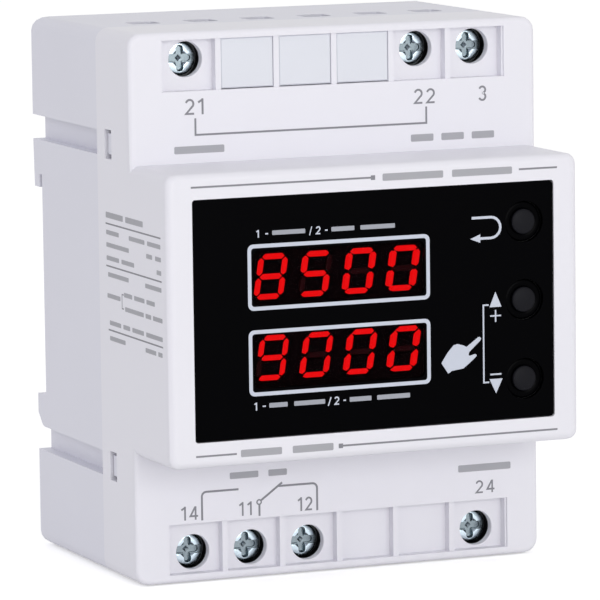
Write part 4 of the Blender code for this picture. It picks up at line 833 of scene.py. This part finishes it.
# a pointing hand, from its wrist's left corner round by the thumb to the back of the hand
hand = [(0, 0), (1.2, -1.8), (1.9, -1.38), (3.9, -1.12), (5.0, -0.3), (6.2, 0.68), (6.3, 0.95),
        (6.0, 1.14), (5.1, 0.88), (4.85, 1.0), (4.95, 1.5), (7.0, 3.32), (7.1, 3.6), (6.9, 3.85),
        (6.6, 3.86), (4.5, 2.38), (3.9, 2.68), (2.9, 2.95), (2.2, 2.8), (1.2, 1.75), (0.4, 0.6)]
symbols = (
    [roundedFrame(-22.25, 9.5, 46.2, 56.85, 0.95, 0.62),
     roundedFrame(-22.25, 9.5, 32.4, 43.05, 0.95, 0.62),
     stroke([(17.0, 58.95), (20.3, 58.95)] + arc(20.4, 57.25, 1.7, 90, -90, 10)
            + [(18.4, 55.55)], 0.42),
     [[(16.7, 55.55), (18.5, 54.85), (18.5, 56.25)]],
     stroke([(19.9, 44.6), (18.95, 44.6), (18.95, 31.9), (19.9, 31.9)], 0.26),
     [[(20.05, 44.2), (22.2, 44.2), (21.12, 46.7)]],
     [[(19.95, 32.4), (22.3, 32.4), (21.12, 30.0)]],
     [[(20.15, 42.64), (21.0, 42.64), (21.0, 41.75), (21.25, 41.75), (21.25, 42.64),
       (22.1, 42.64), (22.1, 42.88), (21.25, 42.88), (21.25, 43.72), (21.0, 43.72),
       (21.0, 42.88), (20.15, 42.88)]],
     rectangle(20.1, 22.1, 33.02, 33.28),
     [[(11.4 + x, 35.6 + z) for x, z in hand]]]
    + figures("1", -20.75, -20.0, 57.9, 1.25, 0.17)
    + [rectangle(-19.15, -18.65, 58.35, 58.57), rectangle(-8.8, -8.35, 58.35, 58.57)]
    + [stroke([(-11.5, 57.8), (-11.1, 59.2)], 0.16)]
    + figures("2", -10.5, -9.5, 57.9, 1.25, 0.17)
    + figures("1", -21.5, -20.7, 30.1, 1.3, 0.17)
    + [rectangle(-20.0, -19.45, 30.6, 30.82), rectangle(-5.95, -5.5, 30.6, 30.82)]
    + [stroke([(-8.6, 30.0), (-8.1, 31.4)], 0.2)]
    + figures("2", -7.65, -6.55, 30.1, 1.3, 0.17))
symbolWords = (wordBars(-17.95, -12.1, 57.9, 1.3, [5])
               + wordBars(-7.7, 3.55, 57.9, 1.3, [4, 6])
               + wordBars(-18.85, -9.0, 30.1, 1.35, [3, 5])
               + wordBars(-4.85, 5.9, 30.1, 1.35, [4, 6]))
printOn("face_print", symbols, facePlane, "print_pale")
printOn("face_words", symbolWords, facePlane, "print_pale", "words_pale")

# the side's print: from and to (how far in front of the seam), foot, height and words
sideRows = [
    (3.5, 20.5, 58.95, 1.7, [7, 7]),
    (3.6, 9.5, 56.3, 1.3, [5]), (14.0, 28.2, 56.3, 1.3, [6, 5]),
    (3.6, 14.0, 54.25, 1.3, [9]), (21.8, 28.4, 54.25, 1.3, [2, 2]),
    (3.6, 16.3, 52.1, 1.3, [5, 5]), (26.3, 28.4, 52.1, 1.3, [2]),
    (4.2, 13.7, 49.4, 1.3, [9]), (21.1, 28.4, 49.4, 1.3, [6]),
    (3.7, 9.8, 45.9, 1.3, [5]), (11.4, 25.3, 46.8, 1.3, [4, 5, 4]),
    (11.8, 28.6, 44.5, 1.3, [10, 3, 5]),
    (4.6, 28.6, 41.5, 1.3, [5, 3, 5, 7]),
    (4.6, 11.8, 38.95, 1.3, [6]), (20.8, 28.4, 38.95, 1.3, [5, 2])]
sidePrint = [rectangle(3.4, 28.2, 58.25, 58.5), rectangle(3.4, 28.4, 51.3, 51.55),
             rectangle(4.0, 28.6, 40.8, 41.05),
             stroke([(11.2, 47.4), (10.4, 47.4), (10.4, 45.1), (11.2, 45.1)], 0.18)]
sideWords = []
for x0, x1, z0, height, words in sideRows:
    sideWords += wordBars(x0, x1, z0, height, words)
printOn("side_print", sidePrint, sidePlane, "print_grey")
printOn("side_words", sideWords, sidePlane, "print_grey", "words_grey")
print("prints done")


# Floor, light and camera

studio = {"floorSide": 6.0, "floorDrop": 0.2 * mm, "sheetWhite": 0.9, "sheetRough": 0.9,
          "sheetGlow": 0.42, "worldFill": 0.67, "lampsAim": (0, 0, 0.045)}
lamps = {"frontLight": {"place": (0.0, -1.2, 0.15), "size": 0.8, "power": 7.25,
                        "tint": (1, 1, 1)},
         "sideLight": {"place": (-1.0, -0.2, 0.6), "size": 0.5, "power": 1.1,
                       "tint": (0.80, 0.79, 1.0)}}

bpy.ops.object.select_all(action="DESELECT")
bpy.ops.mesh.primitive_plane_add(size=studio["floorSide"],
                                 location=(0, 0, -studio["floorDrop"]))
floor = bpy.context.object
floor.name = "studio_floor"


def glowForEye(tree, strengthSeen, strengthElse):
    # full strength for what the camera, a mirror or a pane sees, less for the light itself
    path = tree.nodes.new("ShaderNodeLightPath")
    first = tree.nodes.new("ShaderNodeMath")
    first.operation = "MAXIMUM"
    second = tree.nodes.new("ShaderNodeMath")
    second.operation = "MAXIMUM"
    wire(tree, path, "Is Camera Ray", first, 0)
    wire(tree, path, "Is Glossy Ray", first, 1)
    wire(tree, first, 0, second, 0)
    wire(tree, path, "Is Transmission Ray", second, 1)
    strength = addNode(tree, "MapRange", To_Min=strengthElse, To_Max=strengthSeen)
    wire(tree, second, 0, strength, "Value")
    return strength


sheet = bpy.data.materials.new("studioSheet")
sheet.use_nodes = True
tree = sheet.node_tree
shader = tree.nodes["Principled BSDF"]
shader.inputs["Base Color"].default_value = (studio["sheetWhite"],) * 3 + (1,)
shader.inputs["Roughness"].default_value = studio["sheetRough"]
shader.inputs["Specular IOR Level"].default_value = 0
shader.inputs["Emission Color"].default_value = (1, 1, 1, 1)
glow = glowForEye(tree, studio["sheetGlow"], 0)
wire(tree, glow, "Result", shader, "Emission Strength")
floor.data.materials.append(sheet)

world = bpy.data.worlds.new("studioWorld")
bpy.context.scene.world = world
world.use_nodes = True
tree = world.node_tree
backdrop = tree.nodes["Background"]
backdrop.inputs["Color"].default_value = (1, 1, 1, 1)
glow = glowForEye(tree, 1.0, studio["worldFill"])
wire(tree, glow, "Result", backdrop, "Strength")

# soft square lamps, each turned towards the counter's middle
for name, lamp in lamps.items():
    light = bpy.data.lights.new(name, "AREA")
    light.shape = "SQUARE"
    light.size = lamp["size"]
    light.energy = lamp["power"]
    light.color = lamp["tint"]
    stand = bpy.data.objects.new(name, light)
    bpy.context.scene.collection.objects.link(stand)
    stand.location = lamp["place"]
    aim = Vector(studio["lampsAim"]) - Vector(lamp["place"])
    stand.rotation_euler = aim.to_track_quat("-Z", "Y").to_euler()

# The camera stands where the photograph's did, in its 600 by 600 frame
view = {"azimuth": radians(-22.54), "rise": radians(7.37), "roll": radians(-0.734),
        "distance": 0.8588, "aim": (-0.00005, 0.001, 0.04299), "focalPixels": 5147,
        "framePixels": 600, "sensor": 36.0, "nearest": 0.01}
back = Vector((sin(view["azimuth"]) * cos(view["rise"]),
               -cos(view["azimuth"]) * cos(view["rise"]), sin(view["rise"])))
right = Vector((cos(view["azimuth"]), sin(view["azimuth"]), 0))
up = back.cross(right)
rollCos, rollSin = cos(view["roll"]), sin(view["roll"])
turned = Matrix((right * rollCos + up * rollSin, up * rollCos - right * rollSin, back))
eye = Vector(view["aim"]) + back * view["distance"]
lens = bpy.data.cameras.new("photoCamera")
lens.sensor_width = view["sensor"]
lens.lens = view["focalPixels"] * view["sensor"] / view["framePixels"]
lens.clip_start = view["nearest"]
camera = bpy.data.objects.new("photoCamera", lens)
bpy.context.scene.collection.objects.link(camera)
camera.matrix_world = Matrix.Translation(eye) @ turned.transposed().to_4x4()
bpy.context.scene.camera = camera
bpy.context.scene.view_settings.view_transform = "Standard"
print("stage and camera done")
